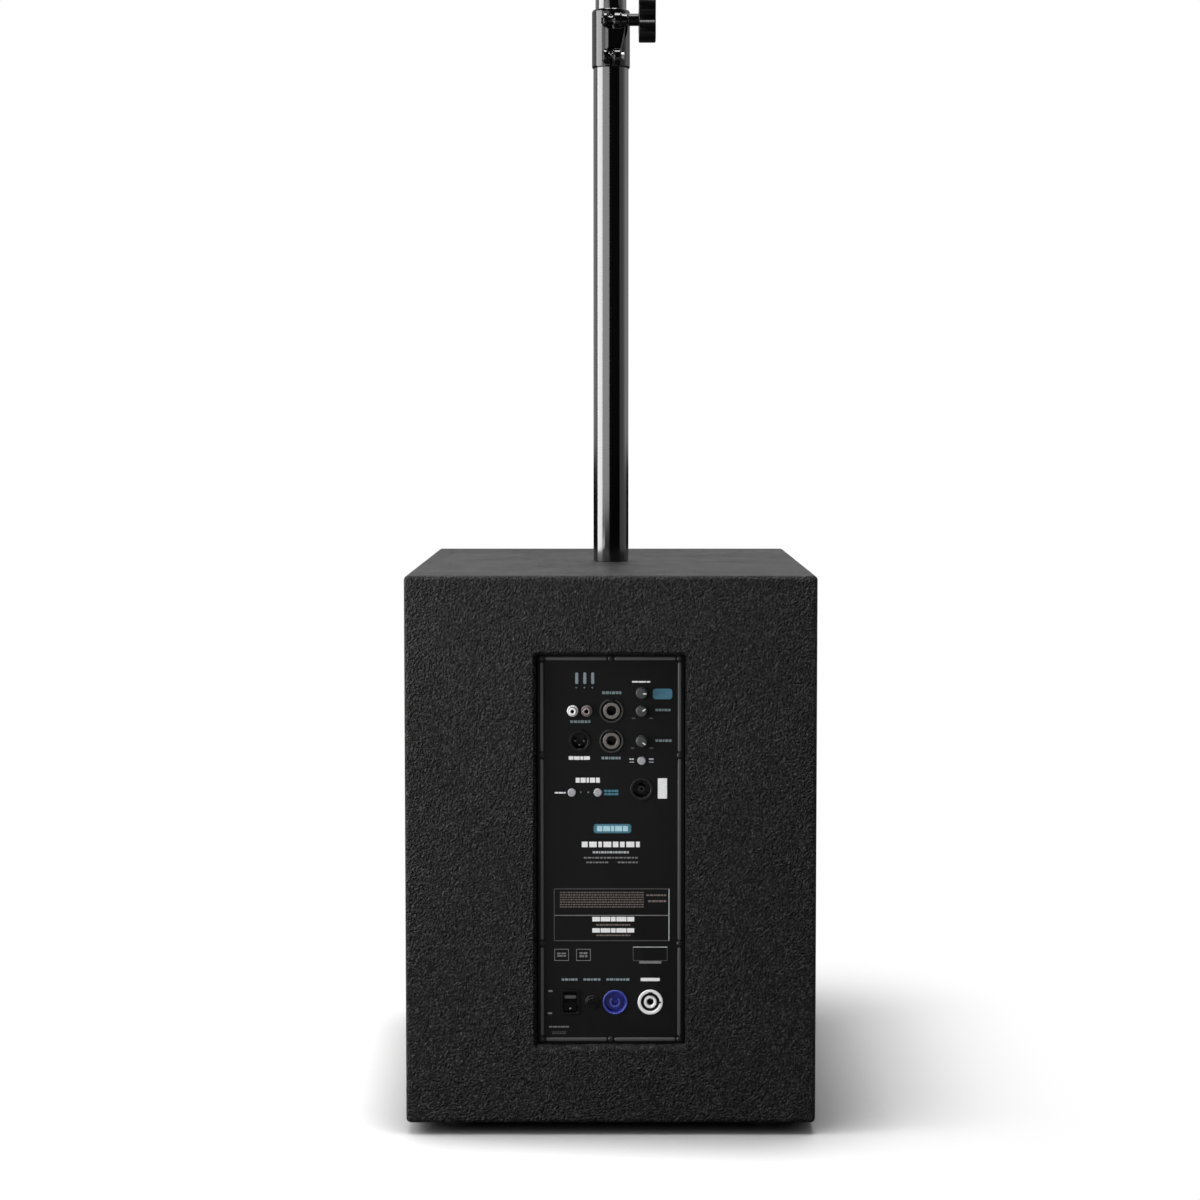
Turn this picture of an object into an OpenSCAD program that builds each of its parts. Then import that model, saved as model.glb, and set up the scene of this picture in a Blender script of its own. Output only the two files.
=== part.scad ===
// Active bass cabinet with a telescoping speaker pole.
// Millimetres, +Z up. The origin is on the floor under the middle of the cabinet.
// The amplifier plate faces -Y and the grille faces +Y.

/* [Cabinet] */
// Width of the cabinet
cab_w = 410; // [400:1:560]
// Height of the cabinet without its feet
cab_h = 550; // [540:1:700]
// Depth of the cabinet
cab_d = 450; // [420:1:600]
// Thickness of the wooden panels
panel_t = 15; // [14:0.5:20]
// Depth of the recess in front of the baffle
baffle_setback = 32; // [28:1:45]
// Height of the brace above the bottom panel
brace_rise = 163; // [150:1:175]
// Width of the brace's middle and edge ribs
brace_rib = 30; // [20:1:40]
// Radius of a screw that fastens grille, handles, feet or pole socket
screw_r = 2; // [1.5:0.1:2.2]
// Length of such a screw under its head
screw_l = 12; // [10:0.5:13]
// Radius of such a screw's head
screw_head_r = 4; // [3:0.1:4.5]
// Height of such a screw's head
screw_head_h = 2; // [1.5:0.1:2.4]

/* [Feet] */
// Height of a rubber foot
foot_h = 12; // [10:0.5:25]
// Diameter of a rubber foot where it meets the cabinet
foot_d = 38; // [28:1:50]
// Distance from a foot's centre to the cabinet's side
foot_inset_x = 51; // [30:1:80]
// Distance from a foot's centre to the cabinet's back or front
foot_inset_y = 48; // [30:1:80]
// Depth of the recess that hides a foot's screw
foot_recess = 6; // [4:0.5:7]

/* [Handles] */
// Length of a handle cup's mouth
handle_l = 144; // [120:1:160]
// Height of a handle cup's mouth
handle_h = 90; // [76:1:100]
// Depth of a handle cup
handle_d = 46; // [40:1:60]
// Wall of a handle cup
handle_wall = 3; // [2:0.5:4]
// Width of a handle cup's flange
handle_flange_w = 15; // [12:1:20]
// Thickness of a handle cup's flange
handle_flange_t = 4; // [3:0.5:5]
// Diameter of the bar that the hand holds
grip_d = 22; // [18:1:26]
// Height of the handles above the bottom panel
handle_rise = 353; // [300:1:380]

/* [Grille] */
// Thickness of the steel grille
grille_t = 1.5; // [1:0.1:2]
// Depth of the grille's face behind the cabinet's front edges
grille_inset = 3; // [2.5:0.5:6]
// Gap between the grille's rim and the panels
grille_gap = 2; // [1:0.5:4]
// Width of the battens that carry the grille
batten_w = 16; // [12:1:17]
// Thickness of the foam behind the grille
foam_t = 6; // [3:0.5:7]

/* [Woofer] */
// Outer diameter of the woofer's frame
woofer_d = 310; // [300:1:314]
// Distance from the top panel down to the woofer's frame
woofer_drop = 24; // [20:1:30]
// Thickness of the frame's flange
flange_t = 6; // [4:0.5:8]
// Width of the frame's flange
flange_w = 16; // [15:0.5:17]
// Depth of the basket behind the baffle's face
basket_d = 86; // [80:1:100]
// Diameter of the circle on which the woofer's screws lie
woofer_pcd = 295; // [294:0.5:296]
// Diameter of the magnet
magnet_d = 156; // [130:1:180]
// Thickness of the magnet
magnet_t = 24; // [18:1:34]
// Thickness of the top plate and of the yoke's disc
pole_plate_t = 8; // [6:1:10]
// Diameter of the voice coil's former
coil_d = 51.6; // [48:0.2:56]
// Diameter of the dust cap
dust_cap_d = 92; // [80:1:110]

/* [Ports] */
// Inner diameter of a port tube
port_d = 84; // [60:1:88]
// Wall of a port tube
port_wall = 3; // [2:0.5:4]
// Length of a port tube behind the baffle's face
port_l = 150; // [100:1:220]
// Distance from the middle to a port's centre
port_x = 105; // [90:1:110]
// Height of the ports' centres above the bottom panel
port_rise = 73; // [71:1:78]

/* [Amplifier plate] */
// Width of the amplifier plate
plate_w = 147; // [145:0.5:160]
// Height of the amplifier plate
plate_h = 391.5; // [388:0.5:420]
// Thickness of the amplifier plate
plate_t = 2; // [1.5:0.1:3]
// Thickness of the gasket behind the plate
gasket_t = 2; // [1:0.1:3]
// Gap between the plate and the rear panel's opening
plate_gap = 1; // [0.5:0.1:3]
// Bevel round the opening's outer edge
open_bevel = 2.5; // [0.5:0.5:6]
// Height of the plate's centre above the bottom panel
plate_rise = 259.5; // [240:0.5:273]
// Distance from the plate's side edges to its bead
bead_side = 3.05; // [2:0.05:8]
// Distance from the plate's top and bottom edges to its bead
bead_end = 2; // [2:0.05:8]
// Width of the raised bead round the plate
bead_w = 3.5; // [2:0.1:5]
// Height of the bead above the plate
bead_h = 1.5; // [0.5:0.1:3]
// Width of the plate's rim that rests on the mounting frame
frame_lip = 12; // [11:0.5:13]
// Thickness of the mounting frame
mount_frame_t = 12; // [9:0.5:18]
// Width of the mounting frame beyond the opening
mount_frame_w = 18; // [12:0.5:24]
// Radius of a plate screw
plate_screw_r = 1.75; // [1.25:0.05:2]
// Length of a plate screw under its head
plate_screw_l = 14; // [10:0.5:15]
// Height of the side screws above and below the plate's centre
side_screw_v = 95; // [70:1:120]
// Gap between the plate and the input board
board_gap = 24; // [22:0.5:30]
// Depth of the heatsink
heatsink_d = 42; // [38:0.5:60]
// Diameter of the toroidal transformer
transformer_d = 96; // [80:1:100]
// Height of the toroidal transformer
transformer_h = 40; // [30:1:50]

/* [Plate layout] */
// Place of the left column of fittings
col_left = -31; // [-34:0.1:-30]
// Place of the middle column of fittings
col_mid = 0.8; // [-1:0.1:2]
// Place of the right column of fittings
col_right = 30.8; // [28:0.1:34]
// Distance from the plate's top edge down to the mode knob
mode_drop = 38; // [35:0.1:42]
// Distance from the plate's top edge down to the upper row of jacks
upper_drop = 56; // [55:0.1:60]
// Distance from the plate's top edge down to the lower row of jacks
lower_drop = 86.2; // [84:0.1:90]
// Distance from the plate's top edge down to the phase button
phase_drop = 106; // [103:0.1:109]
// Distance from the plate's top edge down to the speaker output
speaker_drop = 134.4; // [132:0.1:138]
// Distance from the plate's top edge down to the wireless buttons
wireless_drop = 138; // [134:0.1:142]
// Distance from the plate's top edge down to the status lights
status_drop = 32.8; // [28:0.1:38]
// Distance from the plate's bottom edge up to the mains fittings
mains_rise = 41.5; // [35:0.1:48]
// Place of the power switch
switch_u = -40.5; // [-44:0.1:-39]
// Place of the fuse holder
fuse_u = -18.8; // [-20:0.1:-18]
// Place of the mains inlet
inlet_u = 4.3; // [3:0.1:10]
// Place of the mains outlet
outlet_u = 39.7; // [34:0.1:44]
// Distance between the two phono jacks
rca_pitch = 14; // [12:0.1:15]
// Distance between the two wireless buttons
wireless_pitch = 26; // [22:0.1:28]
// Distance between neighbouring status lights
light_pitch = 8; // [5:0.1:9]

/* [Plate fittings] */
// Diameter of a combo jack's flange
combo_d = 24; // [21:0.1:26]
// Diameter of a combo jack's plug hole
combo_hole_d = 8; // [6.5:0.1:9]
// Diameter of the XLR output's cavity
xlr_d = 15.3; // [14:0.1:17]
// Diameter of a phono jack's coloured ring
rca_d = 11.2; // [9.5:0.1:11.8]
// Diameter of the speaker output's flange
speaker_d = 22.5; // [20:0.1:24]
// Diameter of the mains inlet's ring
inlet_d = 24.7; // [23:0.1:26]
// Diameter of the mains outlet's ring
outlet_d = 25.2; // [23:0.1:26]
// Depth of the sockets' cavities
socket_d = 12; // [9:0.5:15]
// Diameter of a rotary knob
knob_d = 11.6; // [9:0.1:13]
// Height of a rotary knob
knob_h = 9.5; // [6:0.1:10]
// Pointer of the mode knob, clockwise from the top
mode_angle = 90; // [0:5:355]
// Pointer of the microphone level knob, clockwise from the top
mic_angle = 55; // [0:5:355]
// Pointer of the line level knob, clockwise from the top
line_angle = 125; // [0:5:355]
// Radius of a knob's shaft
shaft_r = 3; // [2:0.1:3.2]
// Diameter of a push button
button_d = 8.2; // [6:0.1:9]
// Travel of a push button
button_travel = 1.5; // [0.8:0.1:2]
// Radius of an indicator light
light_r = 1.3; // [1:0.1:1.6]
// Width of the power switch's frame
switch_w = 19; // [17:0.1:20]
// Height of the power switch's frame
switch_h = 25.5; // [24:0.1:28]
// Angle that the power switch's rocker tilts each way
rocker_tilt = 12; // [6:1:14]
// Diameter of the fuse holder
fuse_d = 14; // [12:0.1:14.4]

/* [Pole] */
// Diameter of the pole's lower tube
lower_d = 38; // [37:0.1:44]
// Length of the pole's lower tube
lower_l = 585.5; // [450:0.5:800]
// Wall of the pole's tubes
tube_wall = 2; // [1.5:0.1:2.4]
// Clearance between the two tubes
tube_fit = 0.3; // [0.2:0.05:0.6]
// Length of the upper tube
upper_l = 640; // [480:1:740]
// Length of upper tube that shows above the lower one
upper_rise = 165; // [150:1:300]
// Diameter of the spigot in the cabinet's socket
spigot_d = 35; // [34:0.1:36]
// Length of the spigot in the cabinet's socket
spigot_l = 88; // [60:1:95]
// Clearance between the spigot and its socket
spigot_fit = 0.25; // [0.2:0.05:0.5]
// Wall of the socket
socket_wall = 2; // [1.5:0.1:3]
// Diameter of the socket's flange
socket_flange_d = 86; // [80:1:110]
// Thickness of the socket's flange
socket_flange_t = 2.5; // [2:0.1:4]
// Length of the sleeve that a satellite speaker sits on
sleeve_l = 88; // [60:1:100]
// Wall of that sleeve
sleeve_wall = 0.8; // [0.6:0.1:2]

/* [Clamp] */
// Length of the clamp collar
collar_l = 62.5; // [58:0.5:90]
// Wall of the clamp collar
collar_wall = 1.45; // [1.2:0.05:3]
// Length of the collar's lip above the lower tube
collar_lip = 7; // [4:0.5:10]
// Width of the slit between the collar's ears
slit_w = 2; // [1:0.1:3]
// Thickness of the ear on the nut's side
ear_nut_t = 3.5; // [3:0.1:6]
// Thickness of the ear on the knob's side
ear_knob_t = 10; // [6:0.1:11]
// Length of the boss that carries the knob
boss_l = 7; // [5:0.1:10]
// Diameter of the bosses
boss_d = 16; // [14:0.1:18]
// Distance from the pole's surface to the clamp bolts
bolt_out = 9; // [8.5:0.1:12]
// Radius of the knob's bolt
bolt_r = 4; // [3:0.1:4.2]
// Radius of the fixed screw
fixed_screw_r = 3; // [2:0.1:3.4]
// Distance between the knob's bolt and the fixed screw
bolt_pitch = 38.5; // [30:0.5:40]
// Distance from the collar's top to the knob's bolt
bolt_drop = 14.5; // [12:0.5:16]
// Diameter of the clamp knob
clamp_knob_d = 54; // [40:1:60]
// Thickness of the clamp knob
clamp_knob_t = 18; // [14:0.5:24]
// Length of the clamp knob's hub
hub_l = 11.2; // [8:0.1:16]
// Diameter of the clamp knob's hub
hub_d = 15.2; // [12:0.1:16]

/* [Hidden] */
$fn = 64;

// Shared clearances and small sizes
slack = 1;            // how far a cutting tool runs past the face it cuts
pilot_fit = 0.05;     // between a screw and its hole in wood
hole_fit = 0.2;       // between a fitting's neck and its hole in the plate
shaft_fit = 0.06;     // between a shaft and its bearing
rest_gap = 0.3;       // between two pieces that move against each other
screw_spare = 0.5;    // depth of a screw's hole past its tip

// Cabinet planes
z_bot = foot_h;
z_top = foot_h + cab_h;
y_rear = -cab_d / 2;
y_front = cab_d / 2;
floor_z = z_bot + panel_t;
in_w = cab_w - 2 * panel_t;
in_h = cab_h - 2 * panel_t;
mid_z = z_bot + cab_h / 2;
baffle_y = y_front - baffle_setback;
baffle_back = baffle_y - panel_t;
rear_in = y_rear + panel_t;
grille_seat = y_front - grille_inset - grille_t;

// Amplifier plate
plate_z = floor_z + plate_rise;
face_y = rear_in - gasket_t - plate_t;
open_w = plate_w + 2 * plate_gap;
open_h = plate_h + 2 * plate_gap;
bevel_w = open_w + 2 * open_bevel;
bevel_h = open_h + 2 * open_bevel;
lip_w = plate_w - 2 * frame_lip;
lip_h = plate_h - 2 * frame_lip;
row_mode = plate_h / 2 - mode_drop;
row_upper = plate_h / 2 - upper_drop;
row_lower = plate_h / 2 - lower_drop;
row_phase = plate_h / 2 - phase_drop;
row_speaker = plate_h / 2 - speaker_drop;
row_wireless = plate_h / 2 - wireless_drop;
row_status = plate_h / 2 - status_drop;
row_mains = mains_rise - plate_h / 2;
bead_mid_u = plate_w / 2 - bead_side - bead_w / 2;
bead_mid_v = plate_h / 2 - bead_end - bead_w / 2;
plate_head_r = 2.8;
plate_head_h = 1.8;
board_t = 1.6;
board_in = -plate_t - board_gap;
heatsink_h = 38;
heatsink_gap = 10;
heatsink_top = row_speaker - speaker_d / 2 - heatsink_gap;
heatsink_v = heatsink_top - heatsink_h / 2;
heatsink_w = 116;
board_tag = 20;
power_board_h = 70;
transformer_v = (heatsink_top - heatsink_h + row_mains + inlet_d / 2) / 2;
inside_d = max(heatsink_d, transformer_h) + 10;

// Neck radii of the fittings, which their holes in the plate follow
combo_neck = combo_d / 2 - 1;
xlr_neck = xlr_d / 2 + 2;
rca_neck = rca_d / 2 - 1.2;
speaker_neck = speaker_d / 2 - 1;
inlet_neck = inlet_d / 2 - 1;
outlet_neck = outlet_d / 2 - 1;
fuse_neck = fuse_d / 2 - 1.2;
flange_proud = 1.5;

// Woofer
woofer_z = z_top - panel_t - woofer_drop - woofer_d / 2;
woofer_r = woofer_d / 2;
throat_r = woofer_r - flange_w;
baffle_hole_r = throat_r + 2.5;
coil_r = coil_d / 2;
coil_wall = 0.8;
pole_r = coil_r - coil_wall - 0.5;
plate_bore_r = coil_r + 0.8;
basket_wall = 3;
ledge_z = -60;
ledge_r = 72;
surround_r = 7.5;
surround_land = 3.6;
skin_t = 0.8;
cone_t = 1.2;
cone_edge_r = throat_r - 2 * surround_r;
cone_lip_w = 6;
cone_neck_z = ledge_z + 4;
cone_lip_z = flange_t - rest_gap - cone_t;
cone_slope = (cone_lip_z - cone_neck_z) / (cone_edge_r - cone_lip_w - coil_r);

// Pole
lower_r = lower_d / 2;
upper_r = lower_r - tube_wall - tube_fit;
spigot_r = spigot_d / 2;
socket_r = spigot_r + spigot_fit + socket_wall;
pole_z = z_top + rest_gap;
lower_top = pole_z + lower_l;
upper_top = lower_top + upper_rise;
collar_z = lower_top + collar_lip - collar_l;
collar_r = lower_r + collar_wall;
bolt_y = -lower_r - bolt_out;
knob_bolt_z = collar_z + collar_l - bolt_drop;
fixed_screw_z = knob_bolt_z - bolt_pitch;
ear_nut_x = -slit_w / 2 - ear_nut_t;
ear_knob_x = slit_w / 2 + ear_knob_t;

// ---------------------------------------------------------------- helpers

// A box given by its lowest and highest corners
module block(lo, hi) {
    translate(lo) cube(hi - lo);
}

// A rectangle with rounded corners, centred
module round_rect(w, h, r) {
    square([w - 2 * r, h], center = true);
    square([w, h - 2 * r], center = true);
    for (x = [-1, 1], y = [-1, 1]) translate([x * (w / 2 - r), y * (h / 2 - r)]) circle(r);
}

// A rectangular ring, centred
module frame_2d(w, h, inner_w, inner_h) {
    difference() {
        square([w, h], center = true);
        square([inner_w, inner_h], center = true);
    }
}

// A cylinder between two heights
module rod(r, z0, z1) {
    translate([0, 0, z0]) cylinder(r = r, h = z1 - z0);
}

// A screw whose head sits on z = 0 and whose shank runs down
module screw(r, l, head_r, head_h) {
    difference() {
        union() {
            rod(r, -l, 0);
            cylinder(r1 = head_r, r2 = head_r * 0.72, h = head_h);
        }
        for (a = [0, 90]) rotate(a)
            translate([0, 0, head_h]) cube([head_r * 1.1, head_r / 4, head_h], center = true);
    }
}

// The hole that such a screw needs, open above its head
module screw_hole(r, l) {
    rod(r + pilot_fit, -l - screw_spare, slack);
}

// Puts children on the amplifier plate's face at (u, v): x right, y up, z outwards
module on_plate(u, v) {
    translate([u, face_y, plate_z + v]) rotate([90, 0, 0]) children();
}

// Puts children on the baffle's face at the woofer's axis: z towards the grille
module at_woofer() {
    translate([0, baffle_y, woofer_z]) rotate([-90, 0, 0]) children();
}

// Puts children on both side faces: z outwards, -x up
module on_sides() {
    module right() translate([cab_w / 2, 0, floor_z + handle_rise]) rotate([0, 90, 0]) children();
    right() children();
    mirror([1, 0, 0]) right() children();
}

// Seats of the screws that hold each kind of piece, z towards the head
module grille_spots() {
    for (x = [-1, 0, 1], z = [-1, 0, 1]) if (x != 0 || z != 0)
        translate([x * (in_w - batten_w) / 2, grille_seat + grille_t,
                   mid_z + z * (in_h - batten_w) / 2])
            rotate([-90, 0, 0]) children();
}
module handle_spots() {
    reach = handle_wall + handle_flange_w / 2;
    on_sides() for (x = [-1, 1], y = [-1, 1])
        translate([x * (handle_h / 2 + reach), y * (handle_l / 2 - 12), -screw_head_h - 0.3])
            children();
}
module socket_spots() {
    for (a = [45:90:315]) rotate(a)
        translate([(socket_r + socket_flange_d / 2) / 2 + 1, 0, z_top - panel_t - socket_flange_t])
            rotate([180, 0, 0]) children();
}
module foot_spots() {
    for (x = [-1, 1], y = [-1, 1])
        translate([x * (cab_w / 2 - foot_inset_x), y * (cab_d / 2 - foot_inset_y), foot_recess])
            rotate([180, 0, 0]) children();
}
module plate_spots() {
    for (u = [-1, 0, 1], v = [-1, 1]) on_plate(u * bead_mid_u, v * bead_mid_v) children();
    for (u = [-1, 1], v = [-1, 1]) on_plate(u * bead_mid_u, v * side_screw_v) children();
}
module woofer_spots() {
    at_woofer() for (a = [22.5:45:360]) rotate(a)
        translate([woofer_pcd / 2, 0, flange_t]) children();
}

// ---------------------------------------------------------------- cabinet

module lying_panel(z) {
    block([-cab_w / 2, y_rear, z], [cab_w / 2, y_front, z + panel_t]);
}

module side_panel() {
    difference() {
        block([in_w / 2, y_rear, floor_z], [cab_w / 2, y_front, floor_z + in_h]);
        translate([cab_w / 2, 0, floor_z + handle_rise]) rotate([0, 90, 0]) {
            translate([0, 0, -handle_flange_t]) linear_extrude(handle_flange_t + slack)
                handle_outline(handle_wall + handle_flange_w + hole_fit);
            translate([0, 0, -panel_t - slack]) linear_extrude(panel_t + slack)
                handle_outline(handle_wall + hole_fit);
        }
        handle_spots() screw_hole(screw_r, screw_l);
    }
}

// Outline of the handle cup's mouth, grown by an amount
module handle_outline(grow) {
    round_rect(handle_h + 2 * grow, handle_l + 2 * grow, 5 + grow / 2);
}

module top_panel() {
    color("#1c1c1e") difference() {
        lying_panel(z_top - panel_t);
        rod(socket_r + pilot_fit, z_top - panel_t - slack, z_top + slack);
        socket_spots() screw_hole(screw_r, screw_l);
    }
}

module bottom_panel() {
    color("#1c1c1e") difference() {
        lying_panel(z_bot);
        foot_spots() screw_hole(screw_r, screw_l);
    }
}

module left_panel() {
    color("#1a1a1c") mirror([1, 0, 0]) side_panel();
}

module right_panel() {
    color("#1a1a1c") side_panel();
}

module rear_panel() {
    color("#1c1c1e") difference() {
        block([-in_w / 2, y_rear, floor_z], [in_w / 2, rear_in, floor_z + in_h]);
        block([-open_w / 2, y_rear - slack, plate_z - open_h / 2],
              [open_w / 2, rear_in + slack, plate_z + open_h / 2]);
        hull() {
            block([-bevel_w / 2, y_rear - slack, plate_z - bevel_h / 2],
                  [bevel_w / 2, y_rear, plate_z + bevel_h / 2]);
            block([-open_w / 2, y_rear, plate_z - open_h / 2],
                  [open_w / 2, y_rear + open_bevel, plate_z + open_h / 2]);
        }
    }
}

module front_baffle() {
    color("#19191b") difference() {
        block([-in_w / 2, baffle_back, floor_z], [in_w / 2, baffle_y, floor_z + in_h]);
        at_woofer() rod(baffle_hole_r, -panel_t - slack, slack);
        at_ports() rod(port_d / 2 + port_wall + pilot_fit, -panel_t - slack, slack);
        woofer_spots() screw_hole(screw_r + 0.5, screw_l + flange_t);
    }
}

// A window brace that ties the side panels, the rear panel and the baffle together
module cabinet_brace() {
    z = floor_z + brace_rise;
    notch_y = face_y + plate_t + inside_d + 8;
    window_y = notch_y + brace_rib;
    color("#c8a878") difference() {
        block([-in_w / 2, rear_in, z], [in_w / 2, baffle_back, z + panel_t]);
        block([-open_w / 2 - mount_frame_w - 1, rear_in - slack, z - slack],
              [open_w / 2 + mount_frame_w + 1, rear_in + mount_frame_t + 1, z + panel_t + slack]);
        block([-lip_w / 2, rear_in - slack, z - slack],
              [lip_w / 2, notch_y, z + panel_t + slack]);
        for (s = [0, 1]) mirror([s, 0, 0])
            block([brace_rib / 2, window_y, z - slack],
                  [in_w / 2 - brace_rib, baffle_back - brace_rib, z + panel_t + slack]);
    }
}

module amp_mount_frame() {
    color("#c8a878") difference() {
        translate([0, rear_in + mount_frame_t, plate_z]) rotate([90, 0, 0])
            linear_extrude(mount_frame_t)
                frame_2d(open_w + 2 * mount_frame_w, open_h + 2 * mount_frame_w, lip_w, lip_h);
        plate_spots() screw_hole(plate_screw_r, plate_screw_l);
    }
}

module grille_battens() {
    color("#1a1a1c") difference() {
        translate([0, grille_seat, mid_z]) rotate([90, 0, 0])
            linear_extrude(grille_seat - baffle_y)
                frame_2d(in_w, in_h, in_w - 2 * batten_w, in_h - 2 * batten_w);
        grille_spots() screw_hole(screw_r, screw_l);
    }
}

module rubber_feet() {
    color("#202020") foot_spots() difference() {
        translate([0, 0, foot_recess - foot_h])
            cylinder(d1 = foot_d, d2 = foot_d - 4, h = foot_h);
        rod(screw_head_r + 1, 0, foot_recess + slack);
        rod(screw_r + pilot_fit, foot_recess - foot_h - slack, slack);
    }
}

module cabinet_screws() {
    color("#303032") {
        grille_spots() wood_screw();
        handle_spots() wood_screw();
        socket_spots() wood_screw();
        foot_spots() wood_screw();
    }
}

module wood_screw() {
    screw(screw_r, screw_l, screw_head_r, screw_head_h);
}

// A moulded cup set flush into each side panel
module handle_cups() {
    sink = screw_head_h + 0.3;
    color("#161618") difference() {
        on_sides() difference() {
            union() {
                translate([0, 0, -handle_flange_t]) linear_extrude(handle_flange_t)
                    handle_outline(handle_wall + handle_flange_w);
                translate([0, 0, -handle_d]) linear_extrude(handle_d)
                    handle_outline(handle_wall);
            }
            translate([0, 0, -handle_d + handle_wall]) linear_extrude(handle_d)
                handle_outline(0);
        }
        handle_spots() {
            rod(screw_head_r + 0.4, 0, sink + slack);
            rod(screw_r + pilot_fit, -handle_flange_t, slack);
        }
    }
}

module handle_grips() {
    color("#202022") on_sides()
        translate([grip_d / 2 + 5 - handle_h / 2, 0, -grip_d / 2 - 1.5])
            rotate([90, 0, 0]) cylinder(d = grip_d, h = handle_l, center = true);
}

module grille() {
    color("#161616") difference() {
        block([grille_gap - in_w / 2, grille_seat, floor_z + grille_gap],
              [in_w / 2 - grille_gap, grille_seat + grille_t, floor_z + in_h - grille_gap]);
        grille_spots() rod(screw_r + hole_fit, -grille_t - slack, slack);
    }
}

module grille_foam() {
    edge = batten_w + 0.5;
    color("#101010") block([edge - in_w / 2, grille_seat - foam_t, floor_z + edge],
                           [in_w / 2 - edge, grille_seat, floor_z + in_h - edge]);
}

// A steel cup, flush with the top panel, whose flange is screwed on from below
module pole_socket() {
    cup_d = spigot_l + 4;
    color("#3a3a3c") difference() {
        union() {
            rod(socket_r, z_top - cup_d - socket_wall, z_top);
            rod(socket_flange_d / 2, z_top - panel_t - socket_flange_t, z_top - panel_t);
        }
        rod(spigot_r + spigot_fit, z_top - cup_d, z_top + slack);
        socket_spots() screw_hole(screw_r, screw_l);
    }
}

// ---------------------------------------------------------------- woofer and ports

module at_ports() {
    for (s = [-1, 1]) translate([s * port_x, baffle_y, floor_z + port_rise])
        rotate([-90, 0, 0]) children();
}

module port_tubes() {
    r = port_d / 2 + port_wall;
    color("#141416") at_ports() difference() {
        union() {
            rod(r, -port_l, 0);
            rod(r + 6, 0, 3);
        }
        rod(port_d / 2, -port_l - slack, 3 + slack);
    }
}

// A pressed steel frame: flange, conical wall with six windows, spider ledge and seat
module woofer_basket() {
    wall = basket_wall;
    seat_r = ledge_r - 12;
    color("#2b2b2d") difference() {
        at_woofer() difference() {
            rotate_extrude() polygon([
                [woofer_r, 0], [woofer_r, flange_t], [throat_r, flange_t],
                [throat_r - wall, -18], [ledge_r + 8, ledge_z], [ledge_r, ledge_z],
                [seat_r, -basket_d + wall], [plate_bore_r + 4, -basket_d + wall],
                [plate_bore_r + 4, -basket_d], [seat_r + wall, -basket_d],
                [ledge_r + wall, ledge_z - wall], [ledge_r + 8 + wall, ledge_z - wall],
                [throat_r, -20], [throat_r + 1, 0]
            ]);
            for (a = [0:60:300]) rotate(a)
                block([ledge_r + 4, -28, ledge_z + 6], [woofer_r, 28, -26]);
        }
        woofer_spots() screw_hole(screw_r + 0.5, screw_l + flange_t);
    }
}

module woofer_top_plate() {
    color("#8c8c8e") at_woofer() difference() {
        rod(magnet_d / 2 - 16, -basket_d - pole_plate_t, -basket_d);
        rod(plate_bore_r, -basket_d - pole_plate_t - slack, -basket_d + slack);
    }
}

module woofer_magnet() {
    z = -basket_d - pole_plate_t;
    color("#262628") at_woofer() difference() {
        rod(magnet_d / 2, z - magnet_t, z);
        rod(coil_r + 14, z - magnet_t - slack, z + slack);
    }
}

module woofer_yoke() {
    z = -basket_d - pole_plate_t - magnet_t;
    color("#8c8c8e") at_woofer() difference() {
        union() {
            rod(magnet_d / 2 - 16, z - pole_plate_t, z);
            rod(pole_r, z, -basket_d);
        }
        rod(8, z - pole_plate_t - slack, -basket_d + slack);
    }
}

// Height of a corrugated ring at radius r: a wave that is flat at both ends
function wave(r, r0, r1, rings, rise) =
    rise * sin(360 * rings * (r - r0) / (r1 - r0)) * sin(180 * (r - r0) / (r1 - r0));

// A thin ring whose section follows a list of [r, z] points
module skin_ring(points, t) {
    rotate_extrude() polygon(concat(
        points, [for (i = [len(points) - 1:-1:0]) [points[i][0], points[i][1] + t]]));
}

module woofer_spider() {
    r0 = coil_r + rest_gap;
    r1 = ledge_r;
    color("#b98f3c") at_woofer() skin_ring(concat(
        [for (i = [0:32]) let (r = r0 + (r1 - r0) * i / 32) [r, ledge_z + wave(r, r0, r1, 4, 1.6)]],
        [[r1 + 6, ledge_z]]), skin_t);
}

module woofer_surround() {
    mid_r = throat_r - surround_r;
    color("#1b1b1b") at_woofer() rotate_extrude() {
        translate([mid_r, flange_t]) intersection() {
            difference() {
                circle(surround_r);
                circle(surround_r - skin_t);
            }
            translate([-surround_r, 0]) square([2 * surround_r, surround_r]);
        }
        translate([cone_edge_r - cone_lip_w, flange_t]) square([cone_lip_w + skin_t, skin_t]);
        translate([throat_r - skin_t, flange_t]) square([surround_land + skin_t, skin_t]);
    }
}

module woofer_cone() {
    color("#232323") at_woofer() skin_ring([
        [coil_r, cone_neck_z], [cone_edge_r - cone_lip_w, cone_lip_z],
        [cone_edge_r, cone_lip_z]], cone_t);
}

// A dome whose foot lies on the cone
module dust_cap() {
    r = dust_cap_d / 2;
    rise = 16;
    foot_z = cone_neck_z + cone_t + cone_slope * (r - coil_r);
    ball = (r * r + rise * rise) / (2 * rise);
    function dome(x) = foot_z + rise - ball + sqrt(ball * ball - x * x);
    foot = 2 * cone_t;
    color("#1d1d1d") at_woofer() rotate_extrude() polygon(concat(
        [for (i = [8:-1:0]) [r * i / 8, dome(r * i / 8)]],
        [for (i = [0:8]) let (x = (r - foot) * i / 8) [x, dome(x) - cone_t]],
        [[r - foot, foot_z - foot * cone_slope]]));
}

module voice_coil() {
    color("#b87333") at_woofer() difference() {
        rod(coil_r, -basket_d - pole_plate_t - 12, cone_neck_z + cone_t);
        rod(coil_r - coil_wall, -basket_d - pole_plate_t - 12 - slack, cone_neck_z + cone_t + slack);
    }
}

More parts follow.
